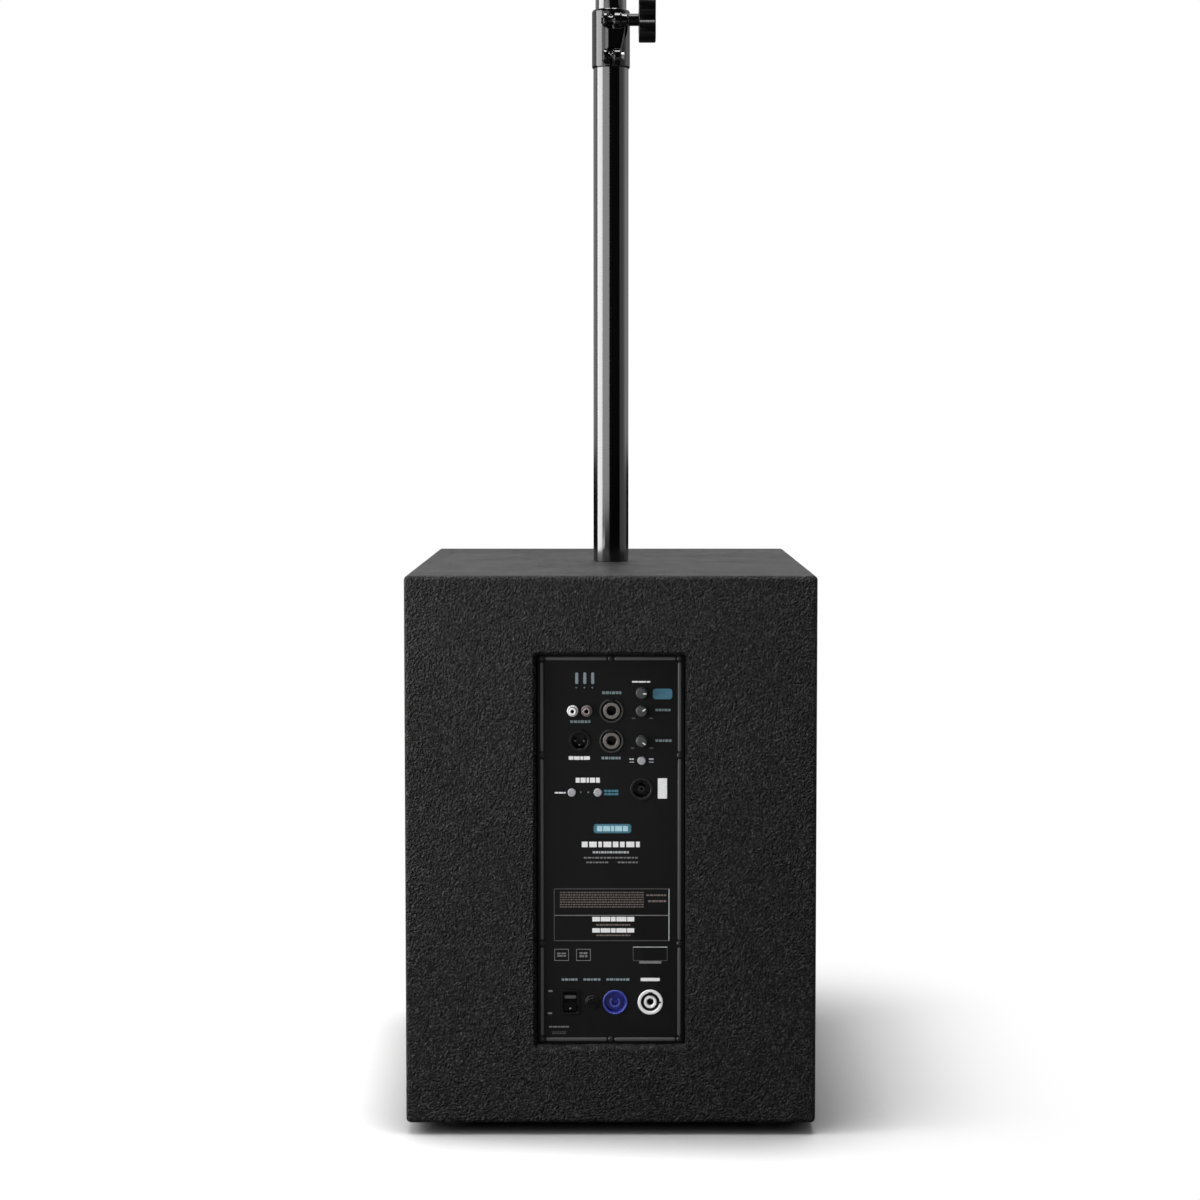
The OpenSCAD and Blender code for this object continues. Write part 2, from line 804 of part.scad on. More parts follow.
module woofer_screws() {
    color("#303032") woofer_spots() screw(screw_r + 0.5, screw_l + flange_t, 4.2, 3);
}

// The lead from the amplifier board to a terminal under the basket's ledge
module speaker_lead() {
    r = 2.2;
    tag = 8;
    tag_side = lip_w / 2 - board_tag;
    from = [tag_side, face_y + plate_t + heatsink_d + board_t + tag, plate_z + heatsink_v];
    to = [ledge_r + 10, baffle_y + ledge_z - basket_wall - tag, woofer_z];
    bend = 90;
    path = [for (i = [0:24]) let (t = i / 24, s = 1 - t)
        s * s * s * from + 3 * s * s * t * (from + [0, bend, 0])
        + 3 * s * t * t * (to + [25, -bend, -30]) + t * t * t * to];
    color("#a03028") {
        sweep(path, r, 10);
        for (end = [from - [0, tag, 0], to]) translate(end + [-6, 0, -6]) cube([12, tag, 12]);
    }
}

// A tube of n sides along a path, closed at both ends
module sweep(path, r, n) {
    count = len(path);
    function along(i) = path[min(i + 1, count - 1)] - path[max(i - 1, 0)];
    function unit(v) = v / norm(v);
    rings = [for (i = [0:count - 1])
        let (d = unit(along(i)), side = unit(cross(d, [0, 0, 1])), up = cross(side, d))
        for (k = [0:n - 1]) path[i] + r * (cos(360 * k / n) * side + sin(360 * k / n) * up)];
    polyhedron(rings, concat(
        [for (i = [0:count - 2], k = [0:n - 1]) let (m = (k + 1) % n)
            [i * n + k, i * n + m, (i + 1) * n + m, (i + 1) * n + k]],
        [[for (k = [n - 1:-1:0]) k]],
        [[for (k = [0:n - 1]) (count - 1) * n + k]]));
}

// ---------------------------------------------------------------- amplifier

// Places of the fittings on the plate
lights_u = col_left - 2.9;
wireless_u = col_left + 5.1;
wireless_light = 3.65;
board_u = lip_w / 2 - 5;
neck_w = switch_w - 4;
neck_h = switch_h - 4;
module at_combos() {
    for (v = [row_upper, row_lower]) on_plate(col_mid, v) children();
}
module at_xlr() {
    on_plate(col_left, row_lower) children();
}
module at_rcas() {
    for (s = [-1, 1]) on_plate(col_left + s * rca_pitch / 2, row_upper) children();
}
module at_speaker() {
    on_plate(col_right, row_speaker) children();
}
module at_knobs() {
    for (v = [row_mode, row_upper, row_lower]) on_plate(col_right, v) children();
}
module at_phase() {
    on_plate(col_right, row_phase) children();
}
module at_wireless(side) {
    on_plate(wireless_u + side * wireless_pitch / 2, row_wireless) children();
}
module at_buttons() {
    at_phase() children();
    for (s = [-1, 1]) at_wireless(s) children();
}
module at_lights() {
    for (i = [0:2]) on_plate(lights_u + i * light_pitch, row_status) children();
    for (s = [-1, 1]) on_plate(wireless_u + s * wireless_light, row_wireless) children();
}

// A hole through the plate
module plate_hole(r) {
    rod(r + hole_fit, -plate_t - slack, slack);
}

module amp_plate() {
    color("#1b1b1d") difference() {
        on_plate(0, 0) {
            translate([0, 0, -plate_t]) linear_extrude(plate_t)
                square([plate_w, plate_h], center = true);
            linear_extrude(bead_h) frame_2d(
                2 * bead_mid_u + bead_w, 2 * bead_mid_v + bead_w,
                2 * bead_mid_u - bead_w, 2 * bead_mid_v - bead_w);
        }
        plate_spots() {
            plate_hole(plate_screw_r);
            rod(plate_head_r + 0.8, 0, bead_h + slack);
        }
        at_combos() plate_hole(combo_neck);
        at_xlr() plate_hole(xlr_neck);
        at_rcas() plate_hole(rca_neck);
        at_speaker() plate_hole(speaker_neck);
        at_knobs() plate_hole(shaft_r + hole_fit);
        at_buttons() plate_hole(button_d / 2 + hole_fit);
        at_lights() plate_hole(light_r);
        on_plate(inlet_u, row_mains) plate_hole(inlet_neck);
        on_plate(outlet_u, row_mains) plate_hole(outlet_neck);
        on_plate(fuse_u, row_mains) plate_hole(fuse_neck);
        on_plate(switch_u, row_mains) translate([0, 0, -plate_t - slack])
            linear_extrude(plate_t + 2 * slack)
                square([neck_w + 2 * hole_fit, neck_h + 2 * hole_fit], center = true);
    }
}

module amp_gasket() {
    color("#111111") difference() {
        on_plate(0, 0) translate([0, 0, -plate_t - gasket_t]) linear_extrude(gasket_t)
            frame_2d(plate_w, plate_h, lip_w, lip_h);
        plate_spots() rod(plate_screw_r + hole_fit, -plate_t - gasket_t - slack, slack);
    }
}

module amp_screws() {
    color("#2c2c2e") plate_spots()
        screw(plate_screw_r, plate_screw_l, plate_head_r, plate_head_h);
}

// A base on the plate with a row of fins whose ends carry the amplifier board
module amp_heatsink() {
    base = 8;
    fin = 3;
    fins = 9;
    color("#b4b6b8") on_plate(0, heatsink_v) {
        block([-heatsink_w / 2, -heatsink_h / 2, -plate_t - base],
              [heatsink_w / 2, heatsink_h / 2, -plate_t]);
        for (i = [0:fins - 1]) let (x = (heatsink_w - fin) * (i / (fins - 1) - 0.5))
            block([x - fin / 2, -heatsink_h / 2, -plate_t - heatsink_d],
                  [x + fin / 2, heatsink_h / 2, -plate_t - base]);
    }
}

// The power board with its reservoir capacitors, output coils and driver chips
module amplifier_board() {
    top = -plate_t - heatsink_d - board_t;
    half = power_board_h / 2;
    can_r = 12;
    can_l = 36;
    can_pitch = 27;
    choke_r = 9;
    choke_l = 14;
    chip = [16, 12, 3];
    color("#1f5c35") on_plate(0, heatsink_v) {
        block([-board_u, -half, top], [board_u, half, top + board_t]);
        for (u = [-1, 1], v = [-1.5, 1.5])
            translate([(u * can_pitch - board_u) / 2, v * can_r, 0]) rod(can_r, top - can_l, top);
        for (v = [-2.5, 2.5]) translate([board_u - 1.4 * choke_r, v * choke_r, 0]) difference() {
            rod(choke_r, top - choke_l, top);
            rod(choke_r / 3, top - choke_l - slack, top - 2);
        }
        for (i = [-1:1]) translate([chip.x / 2, i * 20 - chip.y / 2, top - chip.z]) cube(chip);
    }
}

module input_board() {
    lo = row_wireless - 10;
    hi = row_status + 15;
    under = board_in - board_t;
    color("#1f5c35") {
        on_plate(0, 0) {
            block([-board_u, lo, under], [board_u, hi, board_in]);
            for (u = [-36, -12, 12]) block([u, hi - 60, under - 2.5], [u + 12, hi - 48, under]);
        }
        for (u = [-40, -28, 36, 48]) on_plate(u, hi - 26) rod(4, under - 10, under);
    }
}

// A toroid held down by a dished washer on a stud
module power_transformer() {
    eye_r = 16;
    top = -plate_t - transformer_h;
    stud_r = 3;
    color("#c07a2c") on_plate(0, transformer_v) {
        rotate_extrude() translate([(transformer_d / 2 + eye_r) / 2, top + transformer_h / 2])
            round_rect(transformer_d / 2 - eye_r, transformer_h, 6);
        difference() {
            rod(eye_r + 10, top - 2, top);
            rod(stud_r + hole_fit, top - 2 - slack, top + slack);
        }
        rod(stud_r, top - 9, -plate_t);
        translate([0, 0, top - 7]) cylinder(r = 5.8, h = 5, $fn = 6);
    }
}

// Potentiometer bodies behind the knobs and switch bodies behind the buttons
module panel_controls() {
    pot_h = 10;
    color("#3c4a46") {
        at_knobs() difference() {
            union() {
                block([-6.5, -6.5, board_in], [6.5, 6.5, board_in + pot_h]);
                rod(shaft_r + 1.2, board_in + pot_h, -plate_t);
            }
            rod(shaft_r + shaft_fit, board_in + pot_h - 1, -plate_t + slack);
        }
        at_buttons() difference() {
            block([-4.5, -4.5, board_in], [4.5, 4.5, switch_top]);
            rod(stem_r + rest_gap, switch_top - 9, switch_top + slack);
        }
    }
}
stem_r = 1.5;
cap_in = 1.5 + plate_t;
switch_top = -cap_in - button_travel - 1;

// ---------------------------------------------------------------- plate fittings

// A disc with a small chamfer on its front edge
module flange(r, h) {
    cut = 0.5;
    rod(r, 0, h - cut);
    translate([0, 0, h - cut]) cylinder(r1 = r, r2 = r - cut, h = cut);
}

// A round socket: flange, body, an annular groove and a hole in its barrel
module socket(flange_r, neck_r, body_l, groove_r, barrel_r, hole_r) {
    difference() {
        union() {
            flange(flange_r, flange_proud);
            rod(neck_r, -body_l, 0);
        }
        difference() {
            rod(groove_r, -socket_d, flange_proud + slack);
            rod(barrel_r, -socket_d, flange_proud - 0.3);
        }
        rod(hole_r, -socket_d, flange_proud + slack);
    }
}

module combo_jacks() {
    color("#8f9093") at_combos() difference() {
        socket(combo_d / 2, combo_neck, plate_t + board_gap, combo_d / 2 - 2.4,
               combo_d / 2 - 4.2, combo_hole_d / 2);
        for (a = [90, 210, 330]) rotate(a)
            translate([(combo_d / 2 - 4.2 + combo_hole_d / 2) / 2, 0, 0])
                rod(1.1, -socket_d, flange_proud + slack);
    }
}

module xlr_output() {
    color("#222224") at_xlr() {
        difference() {
            union() {
                flange(xlr_neck + 1.2, flange_proud);
                rod(xlr_neck, board_in, 0);
            }
            rod(xlr_d / 2, -socket_d, flange_proud + slack);
            block([-1.2, 0, -4], [1.2, xlr_d / 2 + 1, flange_proud + slack]);
        }
        for (p = [[-4.4, 0], [4.4, 0], [0, -4.2]]) translate(p) rod(1, -socket_d, -1);
    }
}

// Two phono jacks: a coloured ring with its core, and a metal barrel between them
module rca_jacks() {
    ring_h = 2.2;
    core_r = rca_d / 2 - 2.2;
    barrel_r = rca_d / 2 - 1.5;
    barrel_h = 8;
    color("#e8e8e8") at_rcas() difference() {
        union() {
            flange(rca_d / 2, ring_h);
            rod(rca_neck, board_in, 0);
            rod(core_r, 0, barrel_h - 0.6);
        }
        rod(1.6, -2, barrel_h + slack);
    }
    color("#c8c8c8") at_rcas() difference() {
        rod(barrel_r, ring_h, barrel_h);
        rod(core_r + pilot_fit, ring_h - slack, barrel_h + slack);
    }
}

module speaker_output() {
    color("#2a2b2e") at_speaker() difference() {
        socket(speaker_d / 2, speaker_neck, plate_t + board_gap, speaker_d / 2 - 2.5, 3.4, 1.2);
        for (a = [0, 180]) rotate(a)
            block([-1.5, 0, -socket_d], [1.5, speaker_neck - 0.8, flange_proud + slack]);
    }
}

module mains_inlet() {
    color("#2f4fc0") on_plate(inlet_u, row_mains) difference() {
        socket(inlet_d / 2, inlet_neck, plate_t + 28, inlet_d / 2 - 3, 6.4, 3.5);
        block([-1.4, 0, -socket_d], [1.4, inlet_d / 2 - 3, flange_proud + slack]);
    }
}

module mains_outlet() {
    color("#dcdcdc") on_plate(outlet_u, row_mains) difference() {
        socket(outlet_d / 2, outlet_neck, plate_t + 28, outlet_d / 2 - 3.8, 7.6, 3.2);
        block([-2.6, 0, -socket_d], [2.6, outlet_d / 2 - 3.8, flange_proud + slack]);
        block([0, -1, -socket_d], [outlet_d / 2 - 3.8, 1, flange_proud + slack]);
    }
}

module fuse_holder() {
    color("#161618") on_plate(fuse_u, row_mains) difference() {
        union() {
            flange(fuse_d / 2, flange_proud);
            rod(fuse_neck, -plate_t - 34, 0);
        }
        rod(fuse_stem_r + shaft_fit, -fuse_stem_l - slack, flange_proud + slack);
    }
}
fuse_stem_r = fuse_d / 2 - 2.6;
fuse_stem_l = 12;

module fuse_cap() {
    z = flange_proud + rest_gap;
    color("#161618") on_plate(fuse_u, row_mains) difference() {
        union() {
            rod(fuse_stem_r, -fuse_stem_l, z);
            translate([0, 0, z]) flange(fuse_d / 2 - 1.6, 2.6);
        }
        block([-4, -0.6, z + 1.4], [4, 0.6, z + 2.6 + slack]);
    }
}

module indicator_lights() {
    color("#d8e4ec") at_lights() {
        rod(light_r, -plate_t - 4, 0);
        sphere(light_r);
        for (s = [-1, 1]) translate([s * 0.8, 0, 0]) rod(0.3, board_in, -plate_t - 4);
    }
}

// The power switch: a frame that the rocker tilts in, on two trunnions
rocker_pivot = -1;
rocker_half_w = (switch_w - 6) / 2 - rest_gap;
rocker_r = (switch_h - 6) / 2 - rest_gap;
trunnion_r = 1.2;
trunnion_l = 0.7;

module switch_frame() {
    color("#161618") on_plate(switch_u, row_mains) difference() {
        union() {
            linear_extrude(flange_proud) round_rect(switch_w, switch_h, 1.5);
            block([-neck_w / 2, -neck_h / 2, -plate_t - 20], [neck_w / 2, neck_h / 2, 0]);
        }
        block([3 - switch_w / 2, 3 - switch_h / 2, -10],
              [switch_w / 2 - 3, switch_h / 2 - 3, flange_proud + slack]);
        translate([0, 0, rocker_pivot]) rotate([0, 90, 0])
            cylinder(r = trunnion_r + shaft_fit, h = neck_w - 0.2, center = true);
    }
}

module power_rocker() {
    middle = 2;
    rise = middle + 2 * rocker_r * tan(rocker_tilt);
    color("#1a1a1c") on_plate(switch_u, row_mains) translate([0, 0, rocker_pivot])
        rotate([-rocker_tilt, 0, 0]) {
            rotate([90, 0, 90]) linear_extrude(2 * rocker_half_w, center = true) difference() {
                circle(rocker_r);
                polygon([[-2 * rocker_r, rise], [0, middle], [2 * rocker_r, rise]]);
                translate([-2 * rocker_r, rise - 0.01]) square(4 * rocker_r);
                translate([-2 * rocker_r, -4 * rocker_r - 4]) square(4 * rocker_r);
            }
            rotate([0, 90, 0]) cylinder(
                r = trunnion_r, h = 2 * (rocker_half_w + rest_gap + trunnion_l), center = true);
        }
}

// A fluted knob whose pointer is turned clockwise from the top by an angle
module knob(pointer) {
    r = knob_d / 2;
    skirt = 1.6;
    color("#3a3a3d") rotate(-pointer) difference() {
        union() {
            rod(shaft_r, board_in + 11, rest_gap);
            rod(r, rest_gap, rest_gap + skirt);
            rod(r - 0.7, rest_gap + skirt, knob_h);
        }
        block([-0.5, 0, knob_h - 0.5], [0.5, r + slack, knob_h + slack]);
        for (a = [20:40:360]) rotate(a)
            translate([0, r, 0]) rod(1.2, rest_gap + skirt, knob_h + slack);
    }
}

module mode_knob() {
    on_plate(col_right, row_mode) knob(mode_angle);
}

module mic_level_knob() {
    on_plate(col_right, row_upper) knob(mic_angle);
}

module line_level_knob() {
    on_plate(col_right, row_lower) knob(line_angle);
}

// A push button: a cap through the plate and a stem into its switch
module button() {
    proud = button_travel + 0.7;
    color("#e4e4e4") {
        flange(button_d / 2, proud);
        rod(button_d / 2, -cap_in, 0);
        rod(stem_r, switch_top - 9 + button_travel + rest_gap, -cap_in);
    }
}

module phase_button() {
    at_phase() button();
}

module pair_button() {
    at_wireless(-1) button();
}

module play_button() {
    at_wireless(1) button();
}

// ---------------------------------------------------------------- pole

module pole_lower_tube() {
    color("#2a2b2d") difference() {
        rod(lower_r, pole_z, lower_top);
        rod(lower_r - tube_wall, pole_z - slack, lower_top + slack);
        block([-slit_w / 2, -lower_r - slack, collar_z - 8], [slit_w / 2, 0, lower_top + slack]);
    }
}

module pole_spigot() {
    color("#1c1c1e") {
        rod(spigot_r, pole_z - spigot_l, pole_z);
        rod(lower_r - tube_wall - pilot_fit, pole_z, pole_z + 40);
    }
}

module pole_upper_tube() {
    color("#2a2b2d") difference() {
        rod(upper_r, upper_top - upper_l, upper_top);
        rod(upper_r - tube_wall, upper_top - upper_l - slack, upper_top + slack);
    }
}

// A plastic sleeve, closed at its top, that a satellite speaker's cup slides over
module satellite_adapter() {
    r = upper_r + sleeve_wall;
    color("#1c1c1e") difference() {
        union() {
            rod(r, upper_top - sleeve_l, upper_top);
            translate([0, 0, upper_top]) flange(r, 2);
        }
        rod(upper_r + pilot_fit, upper_top - sleeve_l - slack, upper_top);
    }
}

// Puts children on a clamp bolt's axis: z along +X
module on_bolt(z) {
    translate([0, bolt_y, z]) rotate([0, 90, 0]) children();
}

// A split ring with two ears at the back, drawn together by two bolts
module clamp_collar() {
    top = collar_z + collar_l;
    ear_lo = fixed_screw_z - boss_d / 2;
    ear_hi = knob_bolt_z + boss_d / 2;
    color("#303134") difference() {
        union() {
            rod(collar_r, collar_z, top);
            block([ear_nut_x, bolt_y - 2, ear_lo], [ear_knob_x, 0, ear_hi]);
            on_bolt(knob_bolt_z) rod(boss_d / 2, ear_nut_x, ear_knob_x + boss_l);
            on_bolt(fixed_screw_z) rod(boss_d / 2, ear_nut_x, ear_knob_x);
        }
        rod(lower_r + pilot_fit, collar_z - slack, lower_top);
        rod(upper_r + tube_fit, collar_z - slack, top + slack);
        block([-slit_w / 2, bolt_y - boss_d, collar_z - slack], [slit_w / 2, 0, top + slack]);
        on_bolt(knob_bolt_z) rod(bolt_r + rest_gap, -boss_d * 3, boss_d * 3);
        on_bolt(fixed_screw_z) rod(fixed_screw_r + hole_fit, -boss_d * 3, boss_d * 3);
    }
}

// The knob bolt's nut, and the fixed screw with its nut
module clamp_hardware() {
    nut_t = 4.5;
    head_x = ear_knob_x;
    color("#9a9ca0") {
        on_bolt(knob_bolt_z) difference() {
            translate([0, 0, ear_nut_x - nut_t]) cylinder(r = bolt_r + 3.5, h = nut_t, $fn = 6);
            rod(bolt_r + shaft_fit, ear_nut_x - nut_t - slack, ear_nut_x + slack);
        }
        on_bolt(fixed_screw_z) {
            difference() {
                union() {
                    rod(fixed_screw_r, ear_nut_x - nut_t - 1.5, head_x);
                    translate([0, 0, head_x]) flange(fixed_screw_r + 2, 3.2);
                }
                translate([0, 0, head_x + 1.6]) cylinder(r = 2.4, h = 3, $fn = 6);
            }
            difference() {
                translate([0, 0, ear_nut_x - nut_t])
                    cylinder(r = fixed_screw_r + 3.5, h = nut_t, $fn = 6);
                rod(fixed_screw_r + pilot_fit, ear_nut_x - nut_t - slack, ear_nut_x + slack);
            }
        }
    }
}

// A three-lobed knob on its hub and bolt
module clamp_knob() {
    hub_x = ear_knob_x + boss_l + rest_gap;
    lobe_r = clamp_knob_d * 0.25;
    color("#1e1e20") on_bolt(knob_bolt_z) {
        rod(bolt_r, ear_nut_x - 6, hub_x);
        rod(hub_d / 2, hub_x, hub_x + hub_l);
        translate([0, 0, hub_x + hub_l]) linear_extrude(clamp_knob_t) {
            circle(clamp_knob_d * 0.32);
            for (a = [90, 210, 330]) rotate(a) translate([clamp_knob_d / 2 - lobe_r, 0])
                circle(lobe_r);
        }
    }
}

top_panel();
bottom_panel();
left_panel();
right_panel();
rear_panel();
front_baffle();
cabinet_brace();
amp_mount_frame();
grille_battens();
rubber_feet();
cabinet_screws();
handle_cups();
handle_grips();
grille();
grille_foam();
pole_socket();
woofer_basket();
woofer_top_plate();
woofer_magnet();
woofer_yoke();
woofer_spider();
woofer_surround();
woofer_cone();
dust_cap();
voice_coil();
woofer_screws();
port_tubes();
speaker_lead();
amp_plate();
amp_gasket();
amp_screws();
amp_heatsink();
amplifier_board();
input_board();
power_transformer();
panel_controls();
combo_jacks();
xlr_output();
rca_jacks();
speaker_output();
mains_inlet();
mains_outlet();
fuse_holder();
fuse_cap();
indicator_lights();
switch_frame();
power_rocker();
mode_knob();
mic_level_knob();
line_level_knob();
phase_button();
pair_button();
play_button();
pole_lower_tube();
pole_spigot();
clamp_collar();
clamp_hardware();
pole_upper_tube();
satellite_adapter();
clamp_knob();
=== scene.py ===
"""Active bass cabinet with its amplifier plate and clamped pole: the looks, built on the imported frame.

Lengths in the code are millimetres, turned into metres where a mesh is made. Every new piece is a
loft: an array of closed rings of points, joined ring to ring. A lathe turns a profile into rings,
and a slab gives an outline rounded edges. Mesh data is a pair of points and faces.
"""

from math import radians

import bmesh
import bpy
import numpy as np
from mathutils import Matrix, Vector


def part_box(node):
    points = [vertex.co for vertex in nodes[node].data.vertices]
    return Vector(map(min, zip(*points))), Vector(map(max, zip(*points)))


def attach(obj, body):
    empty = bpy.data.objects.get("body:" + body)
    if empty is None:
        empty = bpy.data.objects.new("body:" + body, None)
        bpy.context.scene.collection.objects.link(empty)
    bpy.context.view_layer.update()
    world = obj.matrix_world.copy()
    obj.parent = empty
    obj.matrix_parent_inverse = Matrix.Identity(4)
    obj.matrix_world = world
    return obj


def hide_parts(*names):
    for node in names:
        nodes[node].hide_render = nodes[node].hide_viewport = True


MM = 0.001
TAU = 2 * np.pi
AXIS = 0.02  # a solid profile starts this near its axis
ROCKER_TILT = radians(12)
X, Y, Z = np.eye(3)

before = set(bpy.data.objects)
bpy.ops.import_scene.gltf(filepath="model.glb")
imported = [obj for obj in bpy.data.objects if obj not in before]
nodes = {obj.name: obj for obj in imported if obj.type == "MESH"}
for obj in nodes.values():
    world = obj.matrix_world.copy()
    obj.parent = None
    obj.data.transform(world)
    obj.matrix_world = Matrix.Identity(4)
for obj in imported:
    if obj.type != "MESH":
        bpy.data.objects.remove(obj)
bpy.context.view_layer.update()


# ---------------------------------------------------------------- places taken from the frame

def span(node):
    """Lowest corner, highest corner and middle of a CAD node's box, in millimetres."""
    low, high = (np.array(corner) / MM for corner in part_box(node))
    return low, high, (low + high) / 2


BEAD_H, SCREW_R, SIDE_SCREW_V = 1.5, 2.8, 95.0
PANEL_T, EDGE_R = 15.0, 4.0
SHELL_LOW, SHELL_HIGH = span("bottom_panel")[0], span("top_panel")[1]
SHELL_MID_Z = (SHELL_LOW[2] + SHELL_HIGH[2]) / 2
HALF_W, HALF_H = SHELL_HIGH[0], (SHELL_HIGH[2] - SHELL_LOW[2]) / 2
REAR_Y, FRONT_Y = SHELL_LOW[1], SHELL_HIGH[1]
PLATE_LOW, PLATE_HIGH = span("amp_plate")[:2]
PLATE_W, _, PLATE_H = PLATE_HIGH - PLATE_LOW
PLATE_Z = (PLATE_LOW[2] + PLATE_HIGH[2]) / 2
FACE_Y = PLATE_LOW[1] + BEAD_H
MOUTH_W, MOUTH_H, MOUTH_R, MOUTH_EDGE = PLATE_W + 2, PLATE_H + 2, 2.0, 3.0
COMBO_D, PHONO_R = 24.0, 5.6
DEEP = -12.0  # floor of the plate's sockets
COLLAR_LOW, COLLAR_HIGH = span("clamp_collar")[:2]
COLLAR_R = -COLLAR_LOW[0]
LOWER_TUBE, UPPER_TUBE = span("pole_lower_tube")[1], span("pole_upper_tube")[1]
BOLT_Y = span("clamp_hardware")[2][1]
KNOB_LOW, KNOB_HIGH = span("clamp_knob")[:2]
KNOB_D = 54.0
LOBE_R = 0.25 * KNOB_D
KNOB_BOLT_Z = KNOB_HIGH[2] - (KNOB_D / 2 - LOBE_R) * np.cos(radians(30)) - LOBE_R
SCREW_BOLT_Z = KNOB_BOLT_Z - 38.5


# A frame is (origin, first axis, second axis, outward axis)
def seen_from_behind(x, y, z):
    """Frame with its first axis to the right, its second up, and outward towards the viewer."""
    return np.array([x, y, z]), X, Z, -Y


def on_plate(u, v):
    """Frame on the plate's face, u to the right and v above its middle."""
    return seen_from_behind(u, FACE_Y, PLATE_Z + v)


def plate_place(node):
    """Place of a fitting's middle on the plate: across, and up from the plate's centre."""
    middle = span(node)[2]
    return middle[0], middle[2] - PLATE_Z


def at_node(node):
    """Frame on the plate at a fitting's middle."""
    return on_plate(*plate_place(node))


def upright(z=0.0):
    """Frame on the pole's axis, outward up."""
    return np.array([0, 0, z]), X, Y, Z


def along_bolt(z):
    """Frame on a bolt of the clamp, outward to the right."""
    return np.array([0, BOLT_Y, z]), -Z, Y, X


def on_side(side, y, z):
    """Frame on a side wall, outward away from the cabinet: side is -1 on the left and 1 on the right."""
    return np.array([side * HALF_W, y, z]), side * Y, Z, side * X


def place(points, at):
    """Local points (first, second, outward) put into a frame."""
    origin, first, second, outward = at
    return origin + points[..., 0:1] * first + points[..., 1:2] * second + points[..., 2:3] * outward


def moved(at, u, v):
    """A frame moved along its first and second axes."""
    return (at[0] + u * at[1] + v * at[2], *at[1:])


# ---------------------------------------------------------------- outlines and profiles

def spun(angle, radius=1.0):
    """Flat points at angles on a circle."""
    return radius * np.stack([np.cos(angle), np.sin(angle)], 1)


def around(count):
    """Evenly spaced angles round a circle."""
    return np.arange(count) / count * TAU


def turning(angle):
    """Matrix that turns flat points clockwise."""
    return np.array([[np.cos(angle), np.sin(angle)], [-np.sin(angle), np.cos(angle)]])


def rounded(points, radii=0.3, steps=3, support=0.3):
    """A profile through the given points with each inner corner turned into an arc of its radius.

    The arc's points are corner + (tangent points and centre by the half-angle formula), so each arc
    is tangent to both sides. A support point stands beside each arc to keep the flats flat.
    """
    points = [np.array(p, float) for p in points]
    out = [points[0]]
    for i in range(1, len(points) - 1):
        radius = radii[i] if isinstance(radii, list) else radii
        here = points[i]
        sides = [points[i - 1] - here, points[i + 1] - here]
        lengths = [np.linalg.norm(side) for side in sides]
        a, b = (side / length for side, length in zip(sides, lengths))
        half = np.arccos(np.clip(a @ b, -1, 1)) / 2
        if radius <= 0 or half > 1.55:
            out.append(here)
            continue
        reach = min(radius / np.tan(half), 0.49 * lengths[0], 0.49 * lengths[1])
        radius = reach * np.tan(half)
        centre = here + (a + b) / np.linalg.norm(a + b) * radius / np.sin(half)
        start, end = here + a * reach - centre, here + b * reach - centre
        sweep = np.arccos(np.clip(start @ end / radius ** 2, -1, 1))
        t = np.linspace(0, 1, steps + 1)[:, None]
        arc = centre + (np.sin((1 - t) * sweep) * start + np.sin(t * sweep) * end) / np.sin(sweep)
        spare = min(support, 0.45 * radius + 0.1)
        flats = [[here + way * (reach + spare)] if length - reach > 2.5 * spare else []
                 for way, length in zip((a, b), lengths)]
        out += [*flats[0], *arc, *flats[1]]
    return np.array(out + [points[-1]])


def rectangle(width, height, radius, steps=6, spare=0.0):
    """Rounded rectangle, anticlockwise: quarter arcs round the four corner centres.

    With spare, a support point stands that far along each side from every arc.
    """
    ring = []
    for k, (sx, sy) in enumerate(((1, 1), (-1, 1), (-1, -1), (1, -1))):
        angle = (k + np.linspace(0, 1, steps + 1)) * np.pi / 2
        centre = np.array([sx * (width / 2 - radius), sy * (height / 2 - radius)])
        arc = centre + spun(angle, radius)
        if spare:
            before, after = ([-np.sin(a), np.cos(a)] for a in (angle[0], angle[-1]))
            arc = np.vstack([arc[0] - spare * np.array(before), arc, arc[-1] + spare * np.array(after)])
        ring.append(arc)
    return np.vstack(ring)


def inset(ring, by):
    """Ring moved inwards along its normals: each point by the sum of its two sides' normals."""
    ahead = np.roll(ring, -1, 0) - ring
    ahead /= np.linalg.norm(ahead, axis=1, keepdims=True)
    behind = np.roll(ahead, 1, 0)
    normal = np.stack([-(ahead + behind)[:, 1], (ahead + behind)[:, 0]], 1)
    normal /= np.linalg.norm(normal, axis=1, keepdims=True)
    lean = np.clip((normal * np.stack([-ahead[:, 1], ahead[:, 0]], 1)).sum(1, keepdims=True), 0.5, 1)
    return ring + normal * by / lean


# ---------------------------------------------------------------- meshes

def loft(rings, closed=False):
    """Mesh data of a loft: rings (k, n, 3) joined in quads, with a cap at each end unless closed."""
    k, n = rings.shape[:2]
    index = np.arange(k * n).reshape(k, n)
    low, high = (index, np.roll(index, -1, 0)) if closed else (index[:-1], index[1:])
    quads = np.stack([low, np.roll(low, -1, 1), np.roll(high, -1, 1), high], -1).reshape(-1, 4)
    caps = [] if closed else [index[0][::-1].tolist(), index[-1].tolist()]
    return rings.reshape(-1, 3), quads.tolist() + caps


def stack(rows, at, closed=False):
    """Loft of flat outlines, each at its own height in a frame."""
    rings = [np.column_stack([outline, np.full(len(outline), height)]) for outline, height in rows]
    return loft(place(np.array(rings), at), closed)


